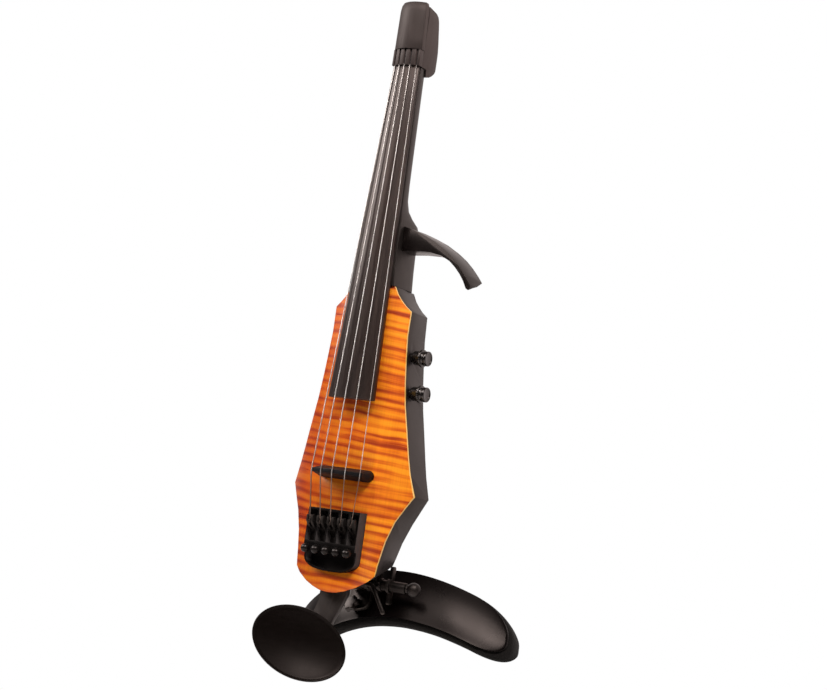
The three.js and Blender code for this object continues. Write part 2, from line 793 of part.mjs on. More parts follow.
// ---------- thumb stop ----------
const STOP_OUTER = [
  [15.9, 199.4],
  [25, 197],
  [34.5, 193.4],
  [46.3, 188.2],
  [57.2, 181.6],
  [65, 175.8],
  [71.2, 169.9],
  [77, 163.4],
  [81, 158.2],
  [83.4, 154.8],
];
const STOP_INNER = [
  [82.2, 151.2],
  [79.6, 152.6],
  [76.4, 158.2],
  [72.4, 163.6],
  [67.6, 168.6],
  [62, 173.2],
  [54, 177.2],
  [44, 179.4],
  [31, 180],
  [16.5, 179.4],
];
const STOP = { y0: -28, y1: -9, endZ: 151.5, endSlope: 0.47 };
const stopEnd = slabX(
  [
    [STOP.y0 - 2, STOP.endZ - 2 * STOP.endSlope],
    [STOP.y0 - 2, 130],
    [STOP.y1 + 2, 130],
    [STOP.y1 + 2, STOP.endZ + (STOP.y1 + 2 - STOP.y0) * STOP.endSlope],
  ],
  60,
  100,
);
// Its outer edge spreads a little towards the back.
const spread = ([x, z]) => [x * 1.03, z + x * 0.02];
const place = (y) => ([x, z]) => [x, y, z];
let stop = outlineLoft(
  [...STOP_OUTER, ...STOP_INNER].reverse().map(place(STOP.y0)),
  [...STOP_OUTER.map(spread), ...STOP_INNER].reverse().map(place(STOP.y1)),
)
  .subtract(neckBase.translate([GAP, 0, 0]))
  .subtract(stopEnd);
for (const y of STOP_PINS)
  stop = stop.subtract(rod([5, y, STOP_PIN_Z], [27.3, y, STOP_PIN_Z], 1.8));
add("thumb_stop", stop, "black_satin");
STOP_PINS.forEach((y, i) => {
  const pin = rod([7, y, STOP_PIN_Z], [27, y, STOP_PIN_Z], 1.5, 1.5, 20);
  add(`thumb_stop_pin_${i + 1}`, pin, "steel");
});

// ---------- shoulder rest hardware ----------
const EARS = [
  [-8, -1.5],
  [14, 20.5],
];
const bracketPlate = slab(roundedRectangle(-20, 26, -66, -44, 5), 0.1, 3.2);
let bracket = bracketPlate;
for (const [x0, x1] of EARS) {
  const ear = slabX(
    [
      [0.2, -56],
      [3.2, -56],
      [HINGE.y + 6.2, HINGE.z + 2],
      [HINGE.y + 6.2, HINGE.z - 6.2],
      [HINGE.y - 4.2, HINGE.z - 6.2],
      [HINGE.y - 4.2, HINGE.z + 6],
      [0.2, -70],
    ],
    x0,
    x1,
  );
  bracket = bracket.add(ear);
}
bracket = bracket.subtract(
  rod([-40, HINGE.y, HINGE.z], [80, HINGE.y, HINGE.z], HINGE.radius + GAP),
);
for (const [x, z] of BRACKET_SCREWS) bracket = bracket.subtract(rod([x, -1, z], [x, 5, z], 2, 2, 24));
add("rest_bracket", bracket.subtract(bodyPrism.translate([0, 0.05, 0])), "metal_black");
BRACKET_SCREWS.forEach(([x, z], i) => {
  const shank = rod([x, -12, z], [x, 3.6, z], 1.7, 1.7, 20);
  const button = rod([x, 3.3, z], [x, 5.4, z], 3.6, 2.9, 28);
  const drive = rod([x, 4.2, z], [x, 6, z], 1.2, 1.2, 6);
  add(`bracket_screw_${i + 1}`, shank.add(button).subtract(drive), "metal_black");
});

// Tilt bar: turns in the two ears and carries the link to the rest.
const alongHinge = (x0, x1, radius, segments = 24) =>
  rod([x0, HINGE.y, HINGE.z], [x1, HINGE.y, HINGE.z], radius, radius, segments);
const bar = alongHinge(-9, 46, HINGE.radius)
  .add(alongHinge(21, 24.5, 5.2))
  .add(alongHinge(24, 46, 4.3))
  .subtract(alongHinge(34, 47, 1.9, 20))
  .subtract(rod([22.75, HINGE.y - 3.4, HINGE.z], [22.75, HINGE.y - 8, HINGE.z], 1.3, 1.3, 16));
add("tilt_bar", bar, "metal_black");

const collarScrew = rod([22.75, 2.5, HINGE.z], [22.75, 0, HINGE.z], 1.1, 1.1, 12)
  .add(rod([22.75, 0.6, HINGE.z], [22.75, -0.5, HINGE.z], 2, 1.7, 20))
  .subtract(rod([22.75, 0.2, HINGE.z], [22.75, -1, HINGE.z], 0.9, 0.9, 6));
add("collar_screw", collarScrew, "metal_black");

// Upright strip gripped on the bar.
const STRIP = { x0: 29.7, x1: 32.3, y0: 4.9, y1: 9.9, z0: -96, z1: -66 };
const strip = slabX(
  [
    [STRIP.y0, STRIP.z0 + 1.2],
    [STRIP.y0 + 1.2, STRIP.z0],
    [STRIP.y1 - 1.2, STRIP.z0],
    [STRIP.y1, STRIP.z0 + 1.2],
    [STRIP.y1, STRIP.z1 - 1.2],
    [STRIP.y1 - 1.2, STRIP.z1],
    [STRIP.y0 + 1.2, STRIP.z1],
    [STRIP.y0, STRIP.z1 - 1.2],
  ],
  STRIP.x0,
  STRIP.x1,
);
const gripStrip = strip
  .add(alongHinge(STRIP.x0, STRIP.x1, 5.8))
  .subtract(alongHinge(STRIP.x0 - 1, STRIP.x1 + 1, 4.4));
add("bar_grip_strip", gripStrip, "metal_black");

const BALL_RADIUS = 5.6;
const ball = [];
for (let k = 0; k <= 10; k += 1) {
  const a = radians(-90 + k * 18);
  ball.push([BALL_RADIUS * Math.cos(a), BALL_RADIUS * Math.sin(a)]);
}
ball[0][0] = 0;
ball[ball.length - 1][0] = 0;
const clampBall = turned(ball, [52.6, HINGE.y, HINGE.z], [1, 0, 0], 18);
const clampNeck = alongHinge(46.3, 50, 3.4, 28);
add("clamp_knob", clampBall.add(clampNeck).add(alongHinge(37, 48, 1.6, 20)), "gloss");

// ---------- shoulder rest ----------
const REST = {
  x: 1.1,
  y: 17,
  z: -90.4,
  bassEnd: -84,
  trebleEnd: 109.5,
  halfWidth: 20.8,
  endStretch: 1.2,
  arch: 124.6,
  wrap: 214,
  plate: 3.4,
  pad: 13,
  padGrow: 3.2,
  padShift: -2,
};
const tilt = radians(SHOULDER_TILT);
const roll = radians(SHOULDER_ROLL);
// A point of the rest: along its length, across its width, and out of its back.
function restPoint(along, across, behind) {
  const drop = (along * along) / (2 * REST.arch);
  const wrap = (along * along) / (2 * REST.wrap);
  const y = wrap + across * Math.sin(tilt) + behind * Math.cos(tilt);
  const z = -drop + across * Math.cos(tilt) - behind * Math.sin(tilt);
  return [
    REST.x + along * Math.cos(roll) - z * Math.sin(roll),
    REST.y + y,
    REST.z + along * Math.sin(roll) + z * Math.cos(roll),
  ];
}
// A layer of the rest; the shift moves it towards the long lower edge.
function restBand(grow, from, to, corner, shift = 0) {
  const rings = [];
  const count = 19;
  for (let k = 0; k < count; k += 1) {
    const start = REST.bassEnd - grow;
    const end = REST.trebleEnd + grow;
    const width = REST.halfWidth + grow;
    const round = width * REST.endStretch;
    const along = lerp(start, end, (1 - Math.cos((Math.PI * k) / (count - 1))) / 2);
    const inset = Math.max(0, along - (end - round), start + round - along) / round;
    const half = Math.max(3.2, width * Math.max(0, 1 - inset ** 2.3) ** (1 / 2.3));
    const middle = (from + to) / 2;
    const thick = (to - from) / 2;
    rings.push(
      roundedSection(half, thick, corner, 12).map(([a, b]) =>
        restPoint(along, a + (shift * half) / width, middle + b),
      ),
    );
  }
  return loft(rings);
}
const THUMB = { along: -5, across: -12.2 };
const thumbBore = rod(
  restPoint(THUMB.along, THUMB.across, -7),
  restPoint(THUMB.along, THUMB.across, 2.7),
  1.9,
  1.9,
  20,
);
const plateBand = restBand(0, 0, REST.plate, 5).subtract(thumbBore);
add("shoulder_rest_plate", plateBand, "black_satin");
add(
  "shoulder_rest_pad",
  restBand(REST.padGrow, REST.plate + 0.2, REST.plate + REST.pad, 4, REST.padShift),
  "foam",
);

// Link from the tilt bar to the middle of the plate.
const LINK_SEAT = { across: -2.5, halfLength: 9.5, halfWidth: 13.5 };
const linkSeat = loft(
  [-0.4, -4.4].map((behind) =>
    roundedSection(LINK_SEAT.halfLength, LINK_SEAT.halfWidth, 3.5, 24).map(([a, b]) =>
      restPoint(a, LINK_SEAT.across + b, behind),
    ),
  ),
);
const linkWeb = wasm.Manifold.hull([
  box(0.5, 9.5, HINGE.y - 4, HINGE.y + 5, HINGE.z - 5, HINGE.z + 5),
  rod(restPoint(2, 3, -2.2), restPoint(6, 3, -2.2), 1.6, 1.6, 12),
]);
const link = alongHinge(-1, 10.5, 5.6)
  .add(linkWeb)
  .add(linkSeat)
  .subtract(thumbBore)
  .subtract(alongHinge(-40, 80, HINGE.radius + 0.15));
add("rest_link", link, "metal_black");

// Lever that locks the tilt.
const LEVER = { x0: 11, x1: 13.3, half: 1.7 };
// Rows of [x, y, z, spread along X].
const leverPath = [
  [12.2, HINGE.y, HINGE.z, 0.6],
  [12.3, HINGE.y - 8.6, HINGE.z - 1, 0.6],
  [19.5, HINGE.y - 8.8, HINGE.z - 1, 1],
  [23, HINGE.y - 8.8, HINGE.z - 5.6, 1.2],
  [27.2, HINGE.y - 8.7, HINGE.z - 12.2, 1.2],
  [32.6, HINGE.y - 8.6, HINGE.z - 20.6, 1.2],
];
let lever = alongHinge(LEVER.x0, LEVER.x1, 6);
for (let k = 1; k < leverPath.length; k += 1) {
  const ends = [leverPath[k - 1], leverPath[k]].map(([x, y, z, wide]) =>
    wasm.Manifold.sphere(LEVER.half, 12).scale([wide, 0.9, 1]).translate([x, y, z]),
  );
  lever = lever.add(wasm.Manifold.hull(ends));
}
lever = lever.subtract(alongHinge(LEVER.x0 - 1, LEVER.x1 + 1, HINGE.radius + GAP));
add("clamp_lever", lever, "metal_black");

// Thumb screw that holds the plate to the link.
const lobes = [];
for (let k = 0; k < 30; k += 1) {
  const a = (2 * Math.PI * k) / 30;
  const r = 5.8 + 0.9 * Math.cos(6 * a);
  lobes.push([r * Math.cos(a), r * Math.sin(a)]);
}
const lobeRings = [-4.9, -5.4, -9.4, -10.2].map((behind, k) => {
  const scale = k === 0 || k === 3 ? 0.86 : 1;
  return lobes.map(([a, b]) =>
    restPoint(THUMB.along + a * scale, THUMB.across + b * scale, behind),
  );
});
const thumbShank = rod(
  restPoint(THUMB.along, THUMB.across, -6),
  restPoint(THUMB.along, THUMB.across, 2.3),
  1.6,
  1.6,
  20,
);
add("rest_thumb_screw", loft(lobeRings).add(thumbShank), "plastic");

// ---------- chin rest ----------
const armOutline = [
  [-8, ARM_PIVOT_Z + 8],
  [8, ARM_PIVOT_Z + 8],
  [12, -84],
  [12.4, -92],
  [8.5, -101],
  [3.5, -112],
  [-2, -126],
  [-10, -131],
  [-18, -128],
  [-17, -112],
  [-13, -100],
  [-12.4, -92],
  [-12, -84],
];
const ARM = { y0: -25.7, y1: -21.7 };
const arm = slab(armOutline, ARM.y0, ARM.y1).subtract(
  rod([0, -40, ARM_PIVOT_Z], [0, 0, ARM_PIVOT_Z], 2.6, 2.6, 24),
);
const CUP = {
  centre: [-7.6, -52, -133.4],
  major: 38,
  minor: 27,
  azimuth: 40,
  elevation: 10,
  roll: -19,
};
const cupProfile = [
  [0, 4.6],
  [0.3, 4.2],
  [0.6, 2.6],
  [0.82, 0.8],
  [0.95, -0.6],
  [1, -1.2],
  [1.0, 1.4],
  [0.93, 3.6],
  [0.75, 6.6],
  [0.4, 8.6],
  [0, 9.2],
];
const cupGeometry = new THREE.LatheGeometry(
  cupProfile.map(([r, d]) => new THREE.Vector2(r, d)),
  36,
);
cupGeometry.scale(CUP.major, 1, CUP.minor);
const azimuth = radians(CUP.azimuth);
const elevation = radians(CUP.elevation);
const facing = new THREE.Vector3(
  Math.sin(azimuth) * Math.cos(elevation),
  -Math.cos(azimuth) * Math.cos(elevation),
  Math.sin(elevation),
);
const level = new THREE.Vector3(0, 0, 1).cross(facing).normalize();
const upright = facing.clone().cross(level);
const major = level
  .clone()
  .multiplyScalar(Math.cos(radians(CUP.roll)))
  .addScaledVector(upright, Math.sin(radians(CUP.roll)));
const minor = facing.clone().cross(major);
const cupMatrix = new THREE.Matrix4().makeBasis(major, facing.clone().negate(), minor);
cupMatrix.setPosition(...CUP.centre);
cupGeometry.applyMatrix4(cupMatrix);
const cup = solidOf(cupGeometry);
add("chin_rest_cup", cup, "plastic");
const cupBack = facing.clone().multiplyScalar(-GAP).toArray();
const cupRoom = wasm.Manifold.hull([cup, cup.translate(cupBack)]);
const postEnd = facing.clone().multiplyScalar(-5).add(new THREE.Vector3(...CUP.centre)).toArray();
const postStart = [-12, ARM.y1 - 1, -124];
const post = rod(postStart, postEnd, 7.5, 7.5, 20).subtract(box(-60, 60, ARM.y1, 40, -180, -60));
add("chin_rest_arm", arm.add(post).subtract(cupRoom), "black_satin");
const pivotScrew = rod([0, -26, ARM_PIVOT_Z], [0, -3, ARM_PIVOT_Z], 2.25, 2.25, 24)
  .add(rod([0, -3.8, ARM_PIVOT_Z], [0, -0.6, ARM_PIVOT_Z], 5, 5, 32))
  .subtract(rod([0, -2.4, ARM_PIVOT_Z], [0, 1, ARM_PIVOT_Z], 1.8, 1.8, 6));
add("chin_rest_screw", pivotScrew, "metal_black");

export default instrument;
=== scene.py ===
"""Headless five-string electric violin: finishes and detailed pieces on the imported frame."""

import json
import math

import bpy
from mathutils import Matrix, Vector, noise

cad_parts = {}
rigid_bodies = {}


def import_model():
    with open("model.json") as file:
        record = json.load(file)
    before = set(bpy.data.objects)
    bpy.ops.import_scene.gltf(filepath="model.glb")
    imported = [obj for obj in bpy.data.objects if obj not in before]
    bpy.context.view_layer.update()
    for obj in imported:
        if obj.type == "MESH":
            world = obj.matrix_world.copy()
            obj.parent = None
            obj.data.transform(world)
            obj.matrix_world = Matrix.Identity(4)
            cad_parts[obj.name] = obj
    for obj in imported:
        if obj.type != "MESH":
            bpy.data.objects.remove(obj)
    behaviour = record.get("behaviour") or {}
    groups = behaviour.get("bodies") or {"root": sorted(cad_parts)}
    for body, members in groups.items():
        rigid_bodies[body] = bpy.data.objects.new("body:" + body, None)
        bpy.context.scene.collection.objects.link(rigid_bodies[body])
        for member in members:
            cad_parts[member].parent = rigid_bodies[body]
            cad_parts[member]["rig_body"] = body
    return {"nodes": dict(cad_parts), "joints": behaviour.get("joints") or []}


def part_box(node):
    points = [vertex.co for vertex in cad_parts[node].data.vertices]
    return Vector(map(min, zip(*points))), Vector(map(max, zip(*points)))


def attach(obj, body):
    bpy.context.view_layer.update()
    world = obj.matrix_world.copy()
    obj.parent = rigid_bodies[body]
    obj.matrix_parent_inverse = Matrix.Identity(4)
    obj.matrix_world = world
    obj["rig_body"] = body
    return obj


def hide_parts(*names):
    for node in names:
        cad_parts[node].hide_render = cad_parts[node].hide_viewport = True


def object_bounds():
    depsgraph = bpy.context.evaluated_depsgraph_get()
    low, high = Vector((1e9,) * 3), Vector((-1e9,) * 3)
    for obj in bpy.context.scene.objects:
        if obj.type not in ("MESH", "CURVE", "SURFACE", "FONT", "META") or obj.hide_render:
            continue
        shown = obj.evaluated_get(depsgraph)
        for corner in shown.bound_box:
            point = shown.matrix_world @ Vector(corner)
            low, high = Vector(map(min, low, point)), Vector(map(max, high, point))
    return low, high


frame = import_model()
cad_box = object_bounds()
nodes = frame["nodes"]
joints = {joint["name"]: joint for joint in frame["joints"]}

# Without a seed, the foam's uneven surface would differ from run to run.
noise.seed_set(5)

# ---------- sizes in metres, shared by the sections below ----------
MM = 0.001
CROWN_Y = -34.5 * MM
STRING_LENGTH = 328 * MM


def box_centre(node):
    """The middle of a CAD node's box."""
    low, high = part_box(node)
    return (low + high) / 2


def direction(azimuth, elevation):
    """A unit vector from angles in radians; azimuth 0 is in front, 90 degrees the treble side."""
    return Vector(
        (
            math.sin(azimuth) * math.cos(elevation),
            -math.cos(azimuth) * math.cos(elevation),
            math.sin(elevation),
        )
    )


def rgb(red, green, blue):
    """Linear colour, alpha included, of an sRGB colour given as 0 to 255."""
    linear = []
    for value in (red, green, blue):
        share = value / 255
        linear.append(share / 12.92 if share < 0.04045 else ((share + 0.055) / 1.055) ** 2.4)
    return (*linear, 1)


def grey(value):
    """A neutral linear colour."""
    return (value, value, value, 1)


# ---------- finishes ----------
WARM_SHEEN = (1.0, 0.84, 0.79, 1.0)
WHITE = grey(1)

# Most of a noise pattern lies between these two values.
PATTERN_LOW = 0.3
PATTERN_HIGH = 0.7

# The Mix node's sockets share their names across data types, so its colours go by number.
FIRST_COLOUR, SECOND_COLOUR, MIXED_COLOUR = 6, 7, 2


class Finish:
    """A procedural material: one Principled shader and helpers for the nodes that feed it."""

    def __init__(self, name, **sockets):
        self.material = bpy.data.materials.new(name)
        self.material.use_nodes = True
        self.tree = self.material.node_tree
        self.surface = self.tree.nodes["Principled BSDF"]
        self.coordinates = self.node("ShaderNodeTexCoord")
        self.place = self.coordinates.outputs["Object"]
        for socket, value in sockets.items():
            self.surface.inputs[socket.replace("_", " ")].default_value = value

    def node(self, kind, inputs=None, **settings):
        """A new node with its settings, and its inputs set or linked."""
        made = self.tree.nodes.new(kind)
        for key, value in settings.items():
            setattr(made, key, value)
        for key, value in (inputs or {}).items():
            self.feed(made.inputs[key], value)
        return made

    def feed(self, socket, value):
        """Links a socket to another, or sets it to a number or colour."""
        if isinstance(value, bpy.types.NodeSocket):
            self.tree.links.new(value, socket)
        else:
            socket.default_value = value

    def stretched(self, scale, place=None):
        """Coordinates scaled along the axes, object coordinates if no others are given."""
        inputs = {"Vector": place or self.place, "Scale": scale}
        return self.node("ShaderNodeMapping", inputs).outputs["Vector"]

    def noise(self, scale, detail=3.0, roughness=0.5, warp=0.0, place=None):
        """Noise with that many cells to the metre along each axis."""
        inputs = {
            "Vector": self.stretched(scale, place),
            "Scale": 1.0,
            "Detail": detail,
            "Roughness": roughness,
            "Distortion": warp,
        }
        return self.node("ShaderNodeTexNoise", inputs).outputs["Fac"]

    def cells(self, scale, feature="F1"):
        """Distances in Voronoi cells, with that many cells to the metre along each axis."""
        inputs = {"Vector": self.stretched(scale), "Scale": 1.0}
        return self.node("ShaderNodeTexVoronoi", inputs, feature=feature).outputs["Distance"]

    def math(self, operation, first, second=0.0):
        """One arithmetic step."""
        made = self.node("ShaderNodeMath", operation=operation)
        self.feed(made.inputs[0], first)
        self.feed(made.inputs[1], second)
        return made.outputs[0]

    def span(self, value, low, high, start=0.0, end=1.0):
        """Maps low..high onto start..end, held at both ends."""
        inputs = {
            "Value": value,
            "From Min": low,
            "From Max": high,
            "To Min": start,
            "To Max": end,
        }
        return self.node("ShaderNodeMapRange", inputs).outputs["Result"]

    def ramp(self, value, *stops):
        """A colour ramp through (position, colour) stops."""
        made = self.node("ShaderNodeValToRGB", {"Fac": value})
        ramp = made.color_ramp
        while len(ramp.elements) < len(stops):
            ramp.elements.new(0.5)
        for element, (position, colour) in zip(ramp.elements, stops):
            element.position = position
            element.color = colour
        return made.outputs["Color"]

    def tones(self, pattern, first, second):
        """A noise pattern's colours, from first in its low parts to second in its high parts."""
        return self.ramp(pattern, (PATTERN_LOW, first), (PATTERN_HIGH, second))

    def mix(self, share, first, second, blend="MIX"):
        """Two colours mixed."""
        made = self.node("ShaderNodeMix", data_type="RGBA", blend_type=blend)
        self.feed(made.inputs["Factor"], share)
        self.feed(made.inputs[FIRST_COLOUR], first)
        self.feed(made.inputs[SECOND_COLOUR], second)
        return made.outputs[MIXED_COLOUR]

    def axis(self, name, source=None):
        """One component of a vector, of object coordinates if no other is given."""
        split = self.node("ShaderNodeSeparateXYZ", {"Vector": source or self.place})
        return split.outputs[name]

    def sideways(self, low, high):
        """0 to 1 as a face turns from the front or back towards the sides."""
        normal = self.axis("X", self.coordinates.outputs["Normal"])
        return self.span(self.math("ABSOLUTE", normal), low, high)

    def colour(self, value):
        """What the base colour is fed from."""
        self.feed(self.surface.inputs["Base Color"], value)

    def roughness(self, pattern, low, high):
        """Roughness that varies with a noise pattern."""
        varied = self.span(pattern, PATTERN_LOW, PATTERN_HIGH, low, high)
        self.feed(self.surface.inputs["Roughness"], varied)

    def relief(self, *layers):
        """Bump layers as (height pattern, depth in millimetres)."""
        normal = None
        for height, depth in layers:
            inputs = {"Height": height, "Strength": 1.0, "Distance": depth * MM}
            made = self.node("ShaderNodeBump", inputs)
            if normal:
                self.feed(made.inputs["Normal"], normal)
            normal = made.outputs["Normal"]
        self.feed(self.surface.inputs["Normal"], normal)


def figured_maple():
    """Amber-stained flamed maple under a deep gloss; the flame runs across the grain."""
    finish = Finish(
        "figured_maple",
        Specular_IOR_Level=0.24,
        Coat_Weight=0.45,
        Coat_Roughness=0.08,
        Coat_IOR=1.4,
    )
    across = finish.axis("X")

    # The stripes lean a little, and drift so that they aren't straight.
    drift = finish.noise((16, 5, 14), detail=2)
    lean = finish.math("MULTIPLY", across, 0.07)
    along = finish.math("ADD", finish.axis("Z"), lean)
    along = finish.math("ADD", along, finish.math("MULTIPLY", drift, 8 * MM))
    line = finish.node("ShaderNodeCombineXYZ", {"X": across, "Y": 0.0, "Z": along}).outputs[0]
    broad = finish.noise((8, 5, 210), detail=2, roughness=0.55, place=line)
    streaks = finish.noise((14, 5, 460), detail=3, roughness=0.65, place=line)
    band = finish.math("SINE", finish.math("MULTIPLY", along, math.tau / (6.8 * MM)))
    patches = finish.noise((34, 5, 22), detail=2)
    flame = finish.mix(0.34, finish.span(broad, 0.25, 0.75), finish.span(band, -1, 1))
    flame = finish.mix(0.32, flame, streaks)
    lift = finish.span(patches, PATTERN_LOW, PATTERN_HIGH, -0.08, 0.08)
    flame = finish.math("ADD", flame, lift)
    stained = finish.ramp(
        flame,
        (0.28, rgb(158, 56, 24)),
        (0.41, rgb(206, 92, 26)),
        (0.52, rgb(234, 127, 28)),
        (0.68, rgb(247, 154, 34)),
    )

    # The colour is darkened towards the bass side as painted shade, where the crowned top turns
    # from the light, and rubbed pale along the edge.
    painted_shade_tone = finish.mix(1.0, stained, rgb(194, 152, 120), "MULTIPLY")
    bass_side_shade = finish.span(across, -40 * MM, 30 * MM, 1.0, 0.0)
    stained = finish.mix(bass_side_shade, stained, painted_shade_tone)
    fibres = finish.noise((900, 300, 36), detail=3, roughness=0.6)
    fibre_tone = finish.ramp(fibres, (0.35, (0.86, 0.82, 0.76, 1)), (0.6, WHITE))
    stained = finish.mix(0.55, stained, fibre_tone, "MULTIPLY")
    facing = finish.math("ABSOLUTE", finish.axis("Y", finish.coordinates.outputs["Normal"]))
    edge = finish.span(facing, 0.45, 0.8, 1.0, 0.0)
    finish.colour(finish.mix(edge, stained, rgb(255, 205, 110)))
    finish.roughness(streaks, 0.26, 0.36)
    finish.relief((fibres, 0.012), (streaks, 0.02))
    return finish.material


def satin_lacquer():
    """Satin black lacquer over wood: faint grain, orange peel and handling marks."""
    finish = Finish("satin_lacquer", Specular_IOR_Level=0.75, Specular_Tint=WARM_SHEEN)
    grain = finish.noise((520, 520, 14), detail=4, roughness=0.6)
    marks = finish.noise((28, 28, 22), detail=4, roughness=0.65)
    peel = finish.noise((900, 900, 900), detail=1)
    tone = finish.tones(grain, rgb(11, 9, 8), rgb(17, 14, 13))
    cloud = finish.ramp(marks, (0.35, grey(0.9)), (0.65, WHITE))
    finish.colour(finish.mix(1.0, tone, cloud, "MULTIPLY"))
    finish.roughness(marks, 0.4, 0.5)
    finish.relief((peel, 0.006), (grain, 0.006))
    return finish.material


def stop_lacquer():
    """Polished black of the thumb stop: deep in front, bright where it turns to the light."""
    finish = Finish("stop_lacquer", Specular_IOR_Level=0.55, Specular_Tint=WARM_SHEEN)
    haze = finish.noise((40, 40, 40), detail=5, roughness=0.65)
    peel = finish.noise((800, 800, 800), detail=1)
    finish.colour(finish.tones(haze, rgb(4, 2, 2), rgb(8, 5, 5)))
    finish.roughness(haze, 0.26, 0.34)
    finish.relief((peel, 0.002))
    return finish.material


def fingerboard_wood():
    """Dark close-grained wood with streaks and open pores along the length."""
    finish = Finish("fingerboard_wood", Specular_IOR_Level=0.45, Specular_Tint=WARM_SHEEN)
    streaks = finish.noise((260, 260, 5), detail=5, roughness=0.62, warp=0.3)
    bands = finish.noise((60, 60, 2), detail=2)
    pores = finish.cells((1100, 1100, 130))
    tone = finish.ramp(
        streaks,
        (0.3, rgb(26, 21, 20)),
        (0.52, rgb(40, 33, 31)),
        (0.72, rgb(54, 44, 40)),
    )
    warm = finish.mix(1.0, tone, rgb(236, 216, 206), "MULTIPLY")
    tone = finish.mix(finish.span(bands, 0.4, 0.65), tone, warm)
    pitted = finish.ramp(pores, (0.12, grey(0.45)), (0.3, WHITE))
    finish.colour(finish.mix(0.7, tone, pitted, "MULTIPLY"))
    finish.roughness(streaks, 0.36, 0.5)
    finish.relief((finish.span(pores, 0.08, 0.3), 0.02), (streaks, 0.012))
    return finish.material


def gloss_black():
    """Polished black, with a faint swirl of fine scratches."""
    finish = Finish(
        "gloss_black",
        Specular_IOR_Level=0.22,
        Specular_Tint=WARM_SHEEN,
        Coat_Weight=0.08,
        Coat_Roughness=0.12,
    )
    haze = finish.noise((60, 60, 60), detail=5, roughness=0.7)
    scratches = finish.noise((1400, 1400, 90), detail=2, warp=1.2)
    finish.colour(finish.tones(haze, rgb(8, 7, 7), rgb(15, 13, 12)))
    finish.roughness(haze, 0.24, 0.36)
    finish.relief((scratches, 0.003))
    return finish.material


def dial_black():
    """Glossy black of the control knobs, bright on their turned rims."""
    finish = Finish(
        "dial_black",
        Specular_IOR_Level=0.5,
        Specular_Tint=WARM_SHEEN,
        Coat_Weight=0.5,
        Coat_Roughness=0.1,
    )
    haze = finish.noise((90, 90, 90), detail=5, roughness=0.7)
    lines = finish.noise((2200, 160, 160), detail=2)
    finish.colour(finish.tones(haze, rgb(7, 6, 6), rgb(13, 12, 11)))
    finish.roughness(haze, 0.2, 0.3)
    finish.relief((lines, 0.003))
    return finish.material


def deep_black():
    """Dense black resin of the bridge, with a thin gloss."""
    finish = Finish(
        "deep_black",
        Specular_IOR_Level=0.08,
        Specular_Tint=WARM_SHEEN,
        Coat_Weight=0.14,
        Coat_Roughness=0.18,
    )
    haze = finish.noise((70, 70, 70), detail=5, roughness=0.7)
    rub = finish.noise((900, 900, 120), detail=2, warp=0.8)
    finish.colour(finish.tones(haze, rgb(14, 14, 15), rgb(24, 23, 25)))
    finish.roughness(haze, 0.46, 0.56)
    finish.relief((rub, 0.004))
    return finish.material


def housing_black():
    """Black anodised housing of the tuners, with a grey sheen painted on its side walls."""
    finish = Finish("housing_black", Specular_IOR_Level=0.1, Specular_Tint=WARM_SHEEN)
    haze = finish.noise((70, 70, 70), detail=5, roughness=0.7)
    rub = finish.noise((900, 900, 120), detail=2, warp=0.8)
    black = finish.tones(haze, rgb(7, 6, 6), rgb(12, 11, 11))
    # The grey of the side walls is a painted sheen, not a colour of the housing.
    grey = finish.tones(haze, rgb(60, 56, 56), rgb(74, 69, 68))
    finish.colour(finish.mix(finish.sideways(0.6, 0.9), black, grey))
    finish.roughness(haze, 0.4, 0.5)
    finish.relief((rub, 0.004))
    return finish.material


def head_lacquer():
    """Flat charcoal lacquer of the head with a fine spray texture; its sides are painted paler as
    a sheen of the light.
    """
    finish = Finish("head_lacquer", Specular_IOR_Level=0.35, Specular_Tint=WARM_SHEEN)
    spray = finish.noise((1200, 1200, 1200), detail=2)
    cloud = finish.noise((40, 40, 40), detail=4, roughness=0.6)
    front = finish.tones(cloud, rgb(34, 28, 27), rgb(44, 37, 36))
    # The paler sides are a painted sheen.
    painted_sheen_flank = finish.tones(cloud, rgb(64, 55, 53), rgb(76, 66, 64))
    finish.colour(finish.mix(finish.sideways(0.7, 0.95), front, painted_sheen_flank))
    finish.roughness(cloud, 0.52, 0.62)
    finish.relief((spray, 0.01))
    return finish.material


def cup_lacquer():
    """The chin cup's black, with a faint grain and a soft sheen."""
    finish = Finish("cup_lacquer", Specular_IOR_Level=0.13, Specular_Tint=WARM_SHEEN)
    grain = finish.noise((60, 60, 420), detail=4, roughness=0.6)
    cloud = finish.noise((30, 30, 30), detail=4, roughness=0.6)
    finish.colour(finish.tones(grain, rgb(4, 2, 1), rgb(11, 7, 6)))
    finish.roughness(cloud, 0.36, 0.46)
    finish.relief((grain, 0.006))
    return finish.material


def satin_plastic():
    """Moulded black plastic with a fine spark-eroded grain."""
    finish = Finish("satin_plastic", Specular_IOR_Level=0.4, Specular_Tint=WARM_SHEEN)
    grain = finish.cells((2300, 2300, 2300))
    cloud = finish.noise((35, 35, 35), detail=4, roughness=0.6)
    finish.colour(finish.tones(cloud, rgb(20, 16, 15), rgb(28, 23, 21)))
    finish.roughness(cloud, 0.36, 0.46)
    finish.relief((grain, 0.012))
    return finish.material


def ball_plastic():
    """Black moulded ball with a soft, broad sheen."""
    finish = Finish("ball_plastic", Specular_IOR_Level=0.4, Specular_Tint=WARM_SHEEN)
    cloud = finish.noise((150, 150, 150), detail=4, roughness=0.6)
    grain = finish.noise((1600, 1600, 1600), detail=2)
    finish.colour(finish.tones(cloud, rgb(8, 5, 5), rgb(13, 10, 9)))
    finish.roughness(cloud, 0.4, 0.5)
    finish.relief((grain, 0.006))
    return finish.material


